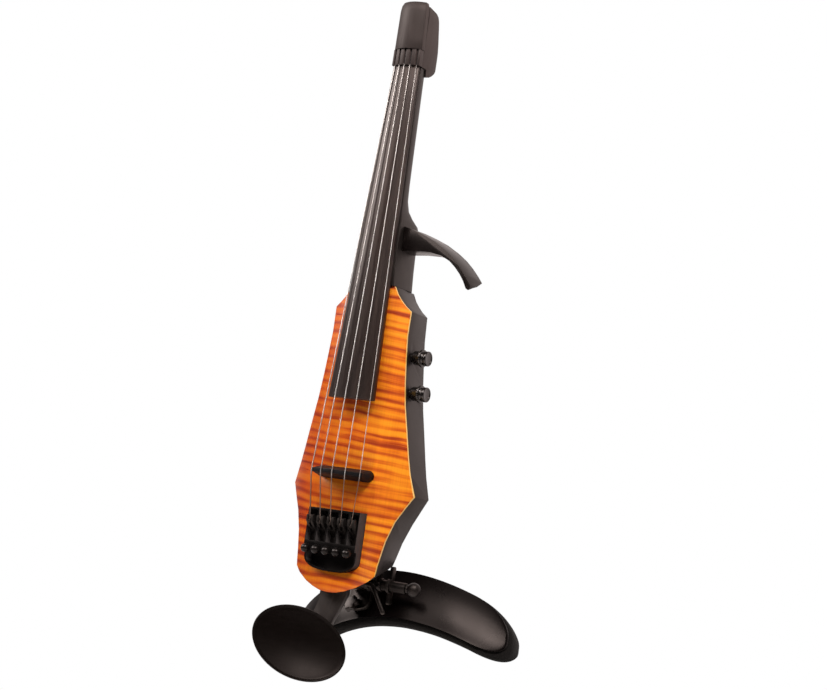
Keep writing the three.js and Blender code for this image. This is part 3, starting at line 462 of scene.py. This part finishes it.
def shell_lacquer():
    """The painted shell of the shoulder rest: smooth, with a soft sheen."""
    finish = Finish("shell_lacquer", Specular_IOR_Level=0.12, Specular_Tint=WARM_SHEEN)
    cloud = finish.noise((24, 24, 24), detail=4, roughness=0.6)
    peel = finish.noise((700, 700, 700), detail=1)
    finish.colour(finish.tones(cloud, rgb(5, 3, 3), rgb(9, 6, 6)))
    finish.roughness(cloud, 0.26, 0.33)
    finish.relief((peel, 0.004))
    return finish.material


def black_hardware():
    """Blackened steel: turning marks, and brighter metal where edges wear."""
    finish = Finish("black_hardware", Specular_IOR_Level=0.3, Specular_Tint=WARM_SHEEN)
    grain = finish.noise((160, 2400, 2400), detail=2)
    mottle = finish.noise((190, 190, 190), detail=5, roughness=0.7)
    worn = finish.node("ShaderNodeNewGeometry").outputs["Pointiness"]
    wear = finish.math("MULTIPLY", finish.span(worn, 0.53, 0.6), mottle)
    oxide = finish.tones(mottle, rgb(18, 16, 15), rgb(32, 28, 27))
    finish.colour(finish.mix(wear, oxide, rgb(84, 78, 74)))
    finish.feed(finish.surface.inputs["Metallic"], finish.span(mottle, 0.2, 0.8, 0.5, 0.75))
    finish.roughness(mottle, 0.28, 0.42)
    finish.relief((grain, 0.004))
    return finish.material


def string_steel():
    """Flat steel ribbon wound round the string, dull towards both ends, with dark silk at the head
    whose near-black is also painted shade in the comb.
    """
    finish = Finish("string_steel")
    along = finish.axis("Z")
    turns = finish.math("MULTIPLY", along, math.tau / (0.32 * MM))
    ribbon = finish.span(finish.math("SINE", turns), -1, 1)
    tarnish = finish.noise((40, 40, 55), detail=4, roughness=0.65)
    metal = finish.tones(tarnish, rgb(200, 194, 190), rgb(240, 237, 235))
    played = finish.span(along, 90 * MM, 290 * MM, 0.0, 0.6)
    metal = finish.mix(played, metal, rgb(128, 118, 114))
    tail = finish.span(along, -6 * MM, -2 * MM, 0.85, 0.0)
    metal = finish.mix(tail, metal, rgb(150, 124, 110))
    ball = finish.span(along, -39 * MM, -37 * MM, 0.9, 0.0)
    metal = finish.mix(ball, metal, rgb(66, 58, 54))
    # Past the nut the string is dark silk, and its near-black is also painted shade where it lies
    # in the comb.
    silk_and_comb_shade = finish.span(along, STRING_LENGTH + 0.4 * MM, STRING_LENGTH + 1.2 * MM)
    finish.colour(finish.mix(silk_and_comb_shade, metal, rgb(30, 25, 26)))
    finish.feed(finish.surface.inputs["Metallic"], finish.math("SUBTRACT", 1.0, silk_and_comb_shade))
    polish = finish.span(tarnish, PATTERN_LOW, PATTERN_HIGH, 0.28, 0.4)
    finish.feed(finish.surface.inputs["Roughness"], finish.mix(silk_and_comb_shade, polish, grey(0.8)))
    finish.relief((ribbon, 0.02))
    return finish.material


def steel():
    """Bright turned steel with fine machining lines."""
    finish = Finish("steel", Metallic=1.0)
    lines = finish.noise((3000, 200, 3000), detail=1)
    stain = finish.noise((120, 120, 120), detail=4)
    finish.colour(finish.tones(stain, rgb(168, 166, 168), rgb(198, 197, 199)))
    finish.roughness(stain, 0.22, 0.36)
    finish.relief((lines, 0.003))
    return finish.material


def foam():
    """Closed-cell foam: small burst cells and a faint skin."""
    finish = Finish(
        "foam",
        Specular_IOR_Level=0.15,
        Sheen_Weight=0.08,
        Sheen_Roughness=0.5,
    )
    cells = finish.cells((1500, 1500, 1500), feature="SMOOTH_F1")
    crumbs = finish.noise((420, 420, 420), detail=4, roughness=0.7)
    patches = finish.noise((45, 45, 45), detail=3)
    tone = finish.ramp(cells, (0.15, rgb(24, 20, 18)), (0.6, rgb(13, 11, 10)))
    dusty = finish.ramp(patches, (0.35, grey(0.82)), (0.65, WHITE))
    finish.colour(finish.mix(1.0, tone, dusty, "MULTIPLY"))
    finish.roughness(crumbs, 0.84, 0.97)
    finish.relief((cells, 0.16), (crumbs, 0.12))
    return finish.material


def circuit():
    """Green solder mask over copper tracks and rows of tinned pads."""
    finish = Finish("circuit", Specular_IOR_Level=0.5)
    tracks = finish.cells((260, 260, 190), feature="DISTANCE_TO_EDGE")
    pads = finish.cells((390, 390, 390))
    lines = finish.span(tracks, 0.06, 0.09, 1.0, 0.0)
    mask = finish.mix(lines, rgb(18, 74, 42), rgb(40, 118, 66))
    finish.colour(finish.mix(finish.span(pads, 0.16, 0.2, 1.0, 0.0), mask, rgb(190, 188, 180)))
    finish.roughness(pads, 0.3, 0.45)
    finish.relief((lines, 0.03))
    return finish.material


def ceramic():
    """Fired piezo ceramic: off-white, speckled, slightly porous."""
    finish = Finish("ceramic", Specular_IOR_Level=0.4)
    speckle = finish.noise((1300, 1300, 1300), detail=4, roughness=0.7)
    finish.colour(finish.ramp(speckle, (0.35, rgb(198, 190, 172)), (0.6, rgb(222, 216, 202))))
    finish.roughness(speckle, 0.5, 0.65)
    finish.relief((speckle, 0.02))
    return finish.material


FINISHES = {
    "figured_maple": figured_maple(),
    "satin_lacquer": satin_lacquer(),
    "stop_lacquer": stop_lacquer(),
    "fingerboard_wood": fingerboard_wood(),
    "gloss_black": gloss_black(),
    "dial_black": dial_black(),
    "deep_black": deep_black(),
    "housing_black": housing_black(),
    "head_lacquer": head_lacquer(),
    "cup_lacquer": cup_lacquer(),
    "satin_plastic": satin_plastic(),
    "ball_plastic": ball_plastic(),
    "shell_lacquer": shell_lacquer(),
    "black_hardware": black_hardware(),
    "string_steel": string_steel(),
    "steel": steel(),
    "foam": foam(),
    "circuit": circuit(),
    "ceramic": ceramic(),
}


# ---------- modifiers shared by the pieces ----------
def geometry_group(name):
    """An empty geometry node group with its input and output."""
    tree = bpy.data.node_groups.new(name, "GeometryNodeTree")
    for side in ("INPUT", "OUTPUT"):
        tree.interface.new_socket("Geometry", in_out=side, socket_type="NodeSocketGeometry")
    return tree, tree.nodes.new("NodeGroupInput"), tree.nodes.new("NodeGroupOutput")


def joined_faces():
    """Joins the faces of an imported mesh at their shared points and drops its stored normals."""
    tree, start, end = geometry_group("joined_faces")
    plain = tree.nodes.new("GeometryNodeRemoveAttribute")
    plain.inputs["Name"].default_value = "custom_normal"
    merge = tree.nodes.new("GeometryNodeMergeByDistance")
    merge.inputs["Distance"].default_value = 1e-6
    tree.links.new(start.outputs[0], plain.inputs[0])
    tree.links.new(plain.outputs[0], merge.inputs["Geometry"])
    tree.links.new(merge.outputs[0], end.inputs[0])
    return tree


def smooth_by_angle(degrees):
    """Shades smooth across every edge that turns less than the angle."""
    tree, start, end = geometry_group(f"smooth_by_angle_{degrees}")
    every = tree.nodes.new("GeometryNodeSetShadeSmooth")
    every.inputs["Shade Smooth"].default_value = True
    sharp = tree.nodes.new("GeometryNodeSetShadeSmooth")
    sharp.domain = "EDGE"
    sharp.inputs["Shade Smooth"].default_value = False
    angle = tree.nodes.new("GeometryNodeInputMeshEdgeAngle")
    over = tree.nodes.new("FunctionNodeCompare")
    over.operation = "GREATER_THAN"
    over.inputs["B"].default_value = math.radians(degrees)
    tree.links.new(start.outputs[0], every.inputs["Geometry"])
    tree.links.new(every.outputs[0], sharp.inputs["Geometry"])
    tree.links.new(angle.outputs["Unsigned Angle"], over.inputs["A"])
    tree.links.new(over.outputs[0], sharp.inputs["Selection"])
    tree.links.new(sharp.outputs[0], end.inputs[0])
    return tree


JOINED = joined_faces()
SMOOTH = smooth_by_angle(38)


def nodes_modifier(piece, group):
    """Adds a geometry node group to a piece."""
    piece.modifiers.new(group.name, "NODES").node_group = group


def ease_edges(piece, width):
    """Rounds a piece's sharp edges by a width in millimetres."""
    bevel = piece.modifiers.new("eased_edges", "BEVEL")
    bevel.width = width * MM
    bevel.segments = 2
    bevel.limit_method = "ANGLE"
    bevel.angle_limit = math.radians(40)
    bevel.miter_outer = "MITER_ARC"
    bevel.use_clamp_overlap = True


def carry_over(node, finish, width):
    """Gives a CAD node its finish, rounded edges and smooth shading."""
    piece = nodes[node]
    piece.data.materials.clear()
    piece.data.materials.append(FINISHES[finish])
    nodes_modifier(piece, JOINED)
    flat = piece.modifiers.new("flat_faces", "DECIMATE")
    flat.decimate_type = "DISSOLVE"
    flat.angle_limit = math.radians(0.3)
    if width:
        ease_edges(piece, width)
    nodes_modifier(piece, SMOOTH)


# Each carried-over CAD node's finish and the rounding of its edges in millimetres.
CARRIED = {
    "body": ("satin_lacquer", 0.5),
    "top_plate": ("figured_maple", 0.35),
    "fingerboard": ("fingerboard_wood", 0.5),
    "neck": ("satin_lacquer", 0.5),
    "head_block": ("head_lacquer", 0.7),
    "string_comb": ("head_lacquer", 0.2),
    "head_cap": ("head_lacquer", 0.5),
    "string_lock_bar": ("steel", 0.3),
    "bridge": ("deep_black", 0.3),
    "piezo_pickup": ("ceramic", 0.2),
    "tuner_housing": ("housing_black", 0.35),
    "claw_pin": ("steel", 0.2),
    "volume_pot": ("black_hardware", 0.2),
    "tone_pot": ("black_hardware", 0.2),
    "output_jack": ("black_hardware", 0.3),
    "preamp_board": ("circuit", 0.15),
    "cavity_cover": ("satin_plastic", 0.3),
    "thumb_stop": ("stop_lacquer", 1.0),
    "thumb_stop_pin_1": ("steel", 0.3),
    "thumb_stop_pin_2": ("steel", 0.3),
    "rest_bracket": ("black_hardware", 0.4),
    "tilt_bar": ("black_hardware", 0.4),
    "collar_screw": ("black_hardware", 0.15),
    "bar_grip_strip": ("black_hardware", 0.3),
    "rest_link": ("black_hardware", 0.5),
    "clamp_lever": ("black_hardware", 0.6),
    "rest_thumb_screw": ("satin_plastic", 0.5),
    "chin_rest_arm": ("satin_lacquer", 0.5),
    "chin_rest_screw": ("black_hardware", 0.3),
}
for name in nodes:
    if name.startswith(("head_screw", "cover_screw", "bracket_screw")):
        CARRIED[name] = ("black_hardware", 0.2)
    elif name.startswith("string_claw"):
        CARRIED[name] = ("black_hardware", 0.3)
for name, (finish, width) in CARRIED.items():
    carry_over(name, finish, width)


# ---------- new pieces ----------
def mesh_object(name, vertices, faces, material):
    """A mesh object in the scene, with a material."""
    mesh = bpy.data.meshes.new(name)
    mesh.from_pydata([tuple(v) for v in vertices], [], faces)
    mesh.materials.append(material)
    made = bpy.data.objects.new(name, mesh)
    bpy.context.scene.collection.objects.link(made)
    return made


def replace_node(node, name, vertices, faces, finish):
    """A finer mesh that replaces a CAD node and rides on the node's body."""
    piece = mesh_object(name, vertices, faces, FINISHES[finish])
    nodes_modifier(piece, SMOOTH)
    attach(piece, nodes[node]["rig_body"])
    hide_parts(node)
    return piece


def seated(vertices, node):
    """Points moved so that their box has the same middle as a CAD node's box."""
    low = Vector(min(v[i] for v in vertices) for i in range(3))
    high = Vector(max(v[i] for v in vertices) for i in range(3))
    shift = box_centre(node) - (low + high) / 2
    return [Vector(v) + shift for v in vertices]


def skin(rings, capped=True):
    """Points and faces of a skin over rings with the same number of points each."""
    count = len(rings[0])
    vertices = [Vector(point) for ring in rings for point in ring]
    faces = []
    for r in range(len(rings) - 1):
        for i in range(count):
            j = (i + 1) % count
            a = r * count
            b = a + count
            faces.append((a + i, a + j, b + j, b + i))
    if capped:
        last = (len(rings) - 1) * count
        faces.append(tuple(reversed(range(count))))
        faces.append(tuple(range(last, last + count)))
    return vertices, faces


def turned(profile, axis, segments=64, knurl=0.0, ridges=0):
    """A profile of (radius, distance, knurled) rows in millimetres, turned about an axis."""
    axis = Vector(axis).normalized()
    side = axis.orthogonal().normalized()
    other = axis.cross(side)
    rings = []
    for radius, distance, knurled in profile:
        ring = []
        for k in range(segments):
            angle = math.tau * k / segments
            groove = knurl * knurled * (0.5 + 0.5 * math.cos(ridges * angle))
            reach = max(radius - groove, 0.01) * MM
            across = side * math.cos(angle) + other * math.sin(angle)
            ring.append(across * reach + axis * distance * MM)
        rings.append(ring)
    return skin(rings)


# ---------- strings ----------
def tube(path, radius, sides=14):
    """A round tube along a path of points."""
    rings = []
    for i, point in enumerate(path):
        before = path[max(i - 1, 0)]
        after = path[min(i + 1, len(path) - 1)]
        along = (after - before).normalized()
        side = along.cross(Vector((0, 1, 0))).normalized()
        other = along.cross(side)
        rings.append(
            [
                point + (side * math.cos(a) + other * math.sin(a)) * radius
                for a in (math.tau * k / sides for k in range(sides))
            ]
        )
    return skin(rings)


def eased(points, reach, steps=6):
    """A path with each corner rounded over a reach on both sides."""
    path = [points[0]]
    for before, corner, after in zip(points, points[1:], points[2:]):
        into = corner + (before - corner).normalized() * min(reach, (before - corner).length / 2)
        out = corner + (after - corner).normalized() * min(reach, (after - corner).length / 2)
        for k in range(steps + 1):
            t = k / steps
            path.append(into.lerp(corner, t).lerp(corner.lerp(out, t), t))
    path.append(points[-1])
    return path


# Measures of the strings in millimetres; heights are above the top plate's crown. Each string
# runs from its ball in a claw over the bridge's crest and the comb, and then down into the head.
STRING_RADII = (0.45, 0.42, 0.38, 0.34, 0.28)
BRIDGE_PITCH = 11.1
CREST_HEIGHT = 18.75
CREST_FALL = 5.3
CREST_HALF_WIDTH = 22.2
CREST_HALF_DEPTH = 1.6
CREST_GAP = 0.06
COMB_PITCH = 4.95
COMB_HEIGHT = 2.1
COMB_FALL = 2.4
HEAD_SINK = 0.6
HEAD_TUCK = 0.86
BALL_HEIGHT = 10.6
BALL_Z = -38.5
BALL_PROFILE = [(0.4, -2.75, 0), (0.85, -2.6, 0), (0.95, -1.4, 0), (0.85, -0.2, 0), (0.4, 0, 0)]

comb_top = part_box("string_comb")[1].z
for i, radius in enumerate(STRING_RADII):
    place = i - 2
    tail_x = box_centre(f"string_claw_{i + 1}").x
    bridge_x = place * BRIDGE_PITCH * MM
    comb_x = place * COMB_PITCH * MM
    fall = CREST_FALL * (bridge_x / (CREST_HALF_WIDTH * MM)) ** 2
    crest_y = CROWN_Y - (CREST_HEIGHT + radius + CREST_GAP - fall) * MM
    comb_y = CROWN_Y - (COMB_HEIGHT - COMB_FALL * (place / 2) ** 2) * MM
    points = [
        Vector((tail_x, CROWN_Y - BALL_HEIGHT * MM, BALL_Z * MM)),
        Vector((bridge_x, crest_y, -CREST_HALF_DEPTH * MM)),
        Vector((bridge_x, crest_y, CREST_HALF_DEPTH * MM)),
        Vector((comb_x, comb_y, STRING_LENGTH)),
        Vector((comb_x, comb_y + 0.2 * MM, comb_top - 1.2 * MM)),
        Vector((comb_x * HEAD_TUCK, CROWN_Y + HEAD_SINK * MM, comb_top + 8.3 * MM)),
    ]
    vertices, faces = tube(eased(points, 1.2 * MM), radius * MM)
    ball_vertices, ball_faces = turned(BALL_PROFILE, (0, 0, 1), 20)
    start = len(vertices)
    vertices += [v + points[0] for v in ball_vertices]
    faces += [tuple(start + k for k in face) for face in ball_faces]
    name = f"wound_string_{i + 1}"
    replace_node(f"string_{i + 1}", name, vertices, faces, "string_steel")

# ---------- tuner knobs ----------
# Rows for turned(), from the tip of the screw out to the knob's domed end.
TUNER_PROFILE = [
    (1.2, -9.6, 0),
    (1.35, -9.4, 0),
    (1.35, -1.25, 0),
    (2.7, -1.2, 0),
    (3.2, -1.0, 0),
    (3.45, -0.6, 1),
    (3.5, -0.3, 1),
    (3.5, 1.3, 1),
    (3.42, 1.7, 1),
    (3.25, 2.1, 0),
    (2.9, 2.9, 0),
    (2.35, 3.6, 0),
    (1.6, 4.1, 0),
    (0.8, 4.34, 0),
    (0.1, 4.4, 0),
]
for i in range(5):
    node = f"tuner_knob_{i + 1}"
    outward = -Vector(joints[f"tuner_turn_{i + 1}"]["axis"])
    vertices, faces = turned(TUNER_PROFILE, outward, 96, knurl=0.16, ridges=24)
    vertices = seated(vertices, node)
    replace_node(node, f"tuner_thumb_{i + 1}", vertices, faces, "gloss_black")

# ---------- control knobs ----------
# The knob's outline, outwards from its shaft, which fills the rest of the CAD knob's length.
DIAL_LENGTH = 12.5
DIAL_PROFILE = [
    (5.1, 0, 0),
    (5.45, 0.15, 0),
    (5.6, 0.5, 0),
    (5.6, 5.5, 0),
    (5.75, 5.75, 0),
    (6.8, 6.0, 0),
    (7.0, 6.25, 1),
    (7.0, 7.4, 1),
    (6.8, 7.7, 0),
    (5.75, 8.0, 0),
    (5.6, 8.25, 0),
    (5.6, 10.1, 0),
    (5.75, 10.4, 0),
    (5.9, 10.65, 0),
    (5.9, 11.9, 0),
    (5.75, 12.3, 0),
    (5.4, DIAL_LENGTH, 0),
    (4.75, DIAL_LENGTH, 0),
    (4.45, 12.3, 0),
    (4.2, 11.95, 0),
    (2.4, 11.75, 0),
    (0.1, 11.7, 0),
]
for control in ("volume", "tone"):
    node = f"{control}_knob"
    low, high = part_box(node)
    shaft = (high.x - low.x) / MM - DIAL_LENGTH
    profile = [(1.4, 0, 0), (1.5, 0.15, 0), (1.5, shaft, 0)]
    profile += [(radius, shaft + distance, knurled) for radius, distance, knurled in DIAL_PROFILE]
    vertices, faces = turned(profile, (1, 0, 0), 128, knurl=0.18, ridges=32)
    centre = box_centre(node)
    vertices = [v + Vector((low.x, centre.y, centre.z)) for v in vertices]
    replace_node(node, f"{control}_dial", vertices, faces, "dial_black")

# ---------- clamp ball ----------
hinge = Vector(joints["rest_tilt"]["pos_m"])
low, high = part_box("clamp_knob")
ball_radius = (high.z - low.z) / 2 / MM
ball_at = (high.x - low.x) / MM - ball_radius

# The ball's outline is an arc in degrees, from its neck below the middle round to its outer pole.
ARC_STEPS = 28
ARC_START = -56
ARC_TURN = 146
profile = [(1.4, 0, 0), (1.6, 0.2, 0), (1.6, 9.3, 0), (3.1, 9.3, 0), (3.4, 9.6, 0)]
for k in range(ARC_STEPS + 1):
    angle = math.radians(ARC_START + k * ARC_TURN / ARC_STEPS)
    radius = max(0.1, ball_radius * math.cos(angle))
    profile.append((radius, ball_at + ball_radius * math.sin(angle), 0))
vertices, faces = turned(profile, (1, 0, 0))
vertices = [v + Vector((low.x, hinge.y, hinge.z)) for v in vertices]
replace_node("clamp_knob", "clamp_ball", vertices, faces, "ball_plastic")

# ---------- shoulder rest ----------
# The rest is a band bent along two parabolas, tilted about X and rolled in the front plane. Arch
# and wrap are the radii at its middle, down towards its ends and back round the shoulder.
REST_ORIGIN = hinge + Vector((1.1, 10.8, -8.9)) * MM
REST_TILT = math.radians(25)
REST_ROLL = math.radians(15)
REST_ARCH = 124.6 * MM
REST_WRAP = 214 * MM
REST_ENDS = (-84 * MM, 109.5 * MM)
REST_HALF_WIDTH = 20.8 * MM

# Its ends round off over a share of its width, and the band thins towards them.
END_REACH = 1.2
END_POWER = 2.3
LEAST_HALF_WIDTH = 0.4 * MM
LEAST_THICKNESS = 0.12
THINNING = 3.2
WAVER_SCALE = 60


def rest_point(along, across, behind):
    """A point of the rest: along its length, across its width, and out of its back."""
    drop = along * along / (2 * REST_ARCH)
    wrap = along * along / (2 * REST_WRAP)
    y = wrap + across * math.sin(REST_TILT) + behind * math.cos(REST_TILT)
    z = -drop + across * math.cos(REST_TILT) - behind * math.sin(REST_TILT)
    return REST_ORIGIN + Vector(
        (
            along * math.cos(REST_ROLL) - z * math.sin(REST_ROLL),
            y,
            along * math.sin(REST_ROLL) + z * math.cos(REST_ROLL),
        )
    )


def rest_band(
    grow, front, back, corner, rings, sides, crown=0.0, waver=0.0, droop=0.0, shift=0.0
):
    """A layer of the shoulder rest, wider than the shell by grow, from front to back.

    corner is the power of its rounded section, crown bulges the back, droop turns the front's long
    edges back, waver makes it uneven and shift moves it across the rest.
    """
    start = REST_ENDS[0] - grow
    end = REST_ENDS[1] + grow
    width = REST_HALF_WIDTH + grow
    round_end = width * END_REACH
    made = []
    for k in range(rings):
        along = start + (end - start) * (1 - math.cos(math.pi * k / (rings - 1))) / 2
        inset = max(0.0, along - (end - round_end), start + round_end - along) / round_end
        edge = max(0.0, 1 - inset**END_POWER) ** (1 / END_POWER)
        half = max(LEAST_HALF_WIDTH, width * edge)
        taper = min(1.0, max(LEAST_THICKNESS, edge * THINNING))
        ring = []
        for s in range(sides):
            angle = math.tau * s / sides
            c, d = math.cos(angle), math.sin(angle)
            across = half * math.copysign(abs(c) ** (2 / corner), c)
            depth = math.copysign(abs(d) ** (2 / corner), d)
            bulge = crown * max(0.0, depth) * (1 - (across / width) ** 2)
            fall = droop * max(0.0, -depth) * (across / width) ** 2
            behind = (front + back) / 2 + (back - front) / 2 * depth * taper + bulge + fall
            point = rest_point(along, across + shift * half / width, behind)
            if waver:
                point = point + noise.noise_vector(point * WAVER_SCALE) * waver
            ring.append(point)
        made.append(ring)
    return skin(made)


vertices, faces = rest_band(
    grow=0,
    front=0,
    back=3.4 * MM,
    corner=4.2,
    rings=96,
    sides=72,
    droop=1.7 * MM,
)
replace_node(
    "shoulder_rest_plate", "shoulder_shell", vertices, faces, "shell_lacquer"
)
vertices, faces = rest_band(
    grow=2.5 * MM,
    front=3.6 * MM,
    back=15.2 * MM,
    corner=3.6,
    rings=110,
    sides=64,
    crown=0.7 * MM,
    waver=0.18 * MM,
    shift=-1.3 * MM,
)
cushion = replace_node("shoulder_rest_pad", "shoulder_foam", vertices, faces, "foam")

# ---------- chin rest ----------
# The cup is an oval dish that faces forwards, up and towards the treble side.
CUP_AZIMUTH = math.radians(40)
CUP_ELEVATION = math.radians(10)
CUP_ROLL = math.radians(-19)
CUP_MAJOR = 38 * MM
CUP_MINOR = 27 * MM
CUP_SIDES = 120

# Rows of the share of its full size and the depth behind its rim in millimetres, inside first.
CUP_PROFILE = [
    (0.01, 4.6),
    (0.15, 4.5),
    (0.3, 4.15),
    (0.45, 3.45),
    (0.6, 2.5),
    (0.72, 1.55),
    (0.82, 0.65),
    (0.89, 0.1),
    (0.925, -0.1),
    (0.945, -0.55),
    (0.96, -1.0),
    (0.975, -1.2),
    (0.988, -1.1),
    (0.997, -0.6),
    (1.0, 0.2),
    (0.995, 1.4),
    (0.975, 2.4),
    (0.93, 3.6),
    (0.85, 5.1),
    (0.75, 6.6),
    (0.6, 7.8),
    (0.4, 8.7),
    (0.2, 9.1),
    (0.01, 9.2),
]
facing = direction(CUP_AZIMUTH, CUP_ELEVATION)
level = Vector((0, 0, 1)).cross(facing).normalized()
upright = facing.cross(level)
major = level * math.cos(CUP_ROLL) + upright * math.sin(CUP_ROLL)
minor = facing.cross(major)
rings = []
for share, depth in CUP_PROFILE:
    ring = []
    for k in range(CUP_SIDES):
        angle = math.tau * k / CUP_SIDES
        across = major * math.cos(angle) * CUP_MAJOR + minor * math.sin(angle) * CUP_MINOR
        ring.append(across * share - facing * depth * MM)
    rings.append(ring)
vertices, faces = skin(rings)
vertices = seated(vertices, "chin_rest_cup")
replace_node("chin_rest_cup", "chin_cup", vertices, faces, "cup_lacquer")

# ---------- camera ----------
# Metres and radians, but for the lens and its sensor, which Blender takes in millimetres.
CAMERA_TARGET = Vector((0.04469, CROWN_Y, 0.10493))
CAMERA_AZIMUTH = math.radians(30.87)
CAMERA_ELEVATION = math.radians(-6.16)
CAMERA_ROLL = math.radians(8.27)
CAMERA_DISTANCE = 1.44563
FOCAL_LENGTH = 81.5
SENSOR_WIDTH = 36
SEEN_RANGE = (0.05, 60)
back = direction(CAMERA_AZIMUTH, CAMERA_ELEVATION)
level = Vector((0, 0, 1)).cross(back).normalized()
right = level * math.cos(CAMERA_ROLL) + back.cross(level) * math.sin(CAMERA_ROLL)
up = back.cross(right)
lens = bpy.data.cameras.new("camera")
lens.lens = FOCAL_LENGTH
lens.sensor_width = SENSOR_WIDTH
lens.clip_start, lens.clip_end = SEEN_RANGE
camera = bpy.data.objects.new("camera", lens)
aim = Matrix((right, up, back)).transposed().to_4x4()
camera.matrix_world = Matrix.Translation(CAMERA_TARGET + back * CAMERA_DISTANCE) @ aim
bpy.context.scene.collection.objects.link(camera)
bpy.context.scene.camera = camera

# ---------- studio ----------
WARM_LIGHT = (1.0, 0.95, 0.92)
centre = (cad_box[0] + cad_box[1]) / 2


def softbox(name, azimuth, elevation, distance, width, height, power):
    """An area light aimed at the object, from angles in degrees."""
    away = direction(math.radians(azimuth), math.radians(elevation))
    light = bpy.data.lights.new(name, "AREA")
    light.shape = "RECTANGLE"
    light.size = width
    light.size_y = height
    light.energy = power
    light.color = WARM_LIGHT
    lamp = bpy.data.objects.new(name, light)
    lamp.location = centre + away * distance
    lamp.rotation_euler = away.to_track_quat("Z", "Y").to_euler()
    bpy.context.scene.collection.objects.link(lamp)


softbox("left_softbox", -64, 25, 1.7, 0.6, 0.7, 22)
softbox("overhead_softbox", 38, 46, 1.8, 0.8, 0.44, 32)
softbox("front_fill", -24, 42, 2.6, 2.6, 1.3, 46)

# The room is white to the camera; as a light it is dim in front, bright behind and a little warm.
DIM_SIDE, BRIGHT_SIDE = 0.05, 0.6
DIM_STRENGTH, BRIGHT_STRENGTH = 0.08, 0.9
WARM_ROOM = (1.0, 0.88, 0.85, 1)
world = bpy.data.worlds.new("studio")
world.use_nodes = True
bpy.context.scene.world = world
sky = world.node_tree
shade = sky.nodes["Background"]
toward = sky.nodes.new("ShaderNodeTexCoord")
parts = sky.nodes.new("ShaderNodeSeparateXYZ")
backdrop = sky.nodes.new("ShaderNodeMapRange")
backdrop.interpolation_type = "SMOOTHSTEP"
backdrop.inputs["From Min"].default_value = DIM_SIDE
backdrop.inputs["From Max"].default_value = BRIGHT_SIDE
backdrop.inputs["To Min"].default_value = DIM_STRENGTH
backdrop.inputs["To Max"].default_value = BRIGHT_STRENGTH
seen = sky.nodes.new("ShaderNodeLightPath")
strength = sky.nodes.new("ShaderNodeMath")
strength.operation = "MAXIMUM"
tint = sky.nodes.new("ShaderNodeMix")
tint.data_type = "RGBA"
tint.inputs[FIRST_COLOUR].default_value = WARM_ROOM
tint.inputs[SECOND_COLOUR].default_value = WHITE
sky.links.new(toward.outputs["Generated"], parts.inputs[0])
sky.links.new(parts.outputs["Y"], backdrop.inputs["Value"])
sky.links.new(backdrop.outputs["Result"], strength.inputs[0])
sky.links.new(seen.outputs["Is Camera Ray"], strength.inputs[1])
sky.links.new(strength.outputs[0], shade.inputs["Strength"])
sky.links.new(seen.outputs["Is Camera Ray"], tint.inputs["Factor"])
sky.links.new(tint.outputs[MIXED_COLOUR], shade.inputs["Color"])
bpy.context.scene.view_settings.view_transform = "Standard"

# A round pale floor well under the object, which is held in the air.
FLOOR_DROP = 0.7
FLOOR_RADII = (0.02, 0.5, 1.0, 2.0, 3.0)
FLOOR_SIDES = 64
floor_z = cad_box[0].z - FLOOR_DROP
turns = [math.tau * k / FLOOR_SIDES for k in range(FLOOR_SIDES)]
rings = [
    [(radius * math.cos(turn), radius * math.sin(turn), floor_z) for turn in turns]
    for radius in FLOOR_RADII
]
vertices, faces = skin(rings, capped=False)
faces.append(tuple(reversed(range(FLOOR_SIDES))))
paper = Finish("floor", Roughness=0.9)
mottle = paper.noise((14, 14, 14), detail=3)
paper.colour(paper.tones(mottle, (0.8, 0.8, 0.79, 1), (0.84, 0.84, 0.83, 1)))
mesh_object("floor", vertices, faces, paper.material)
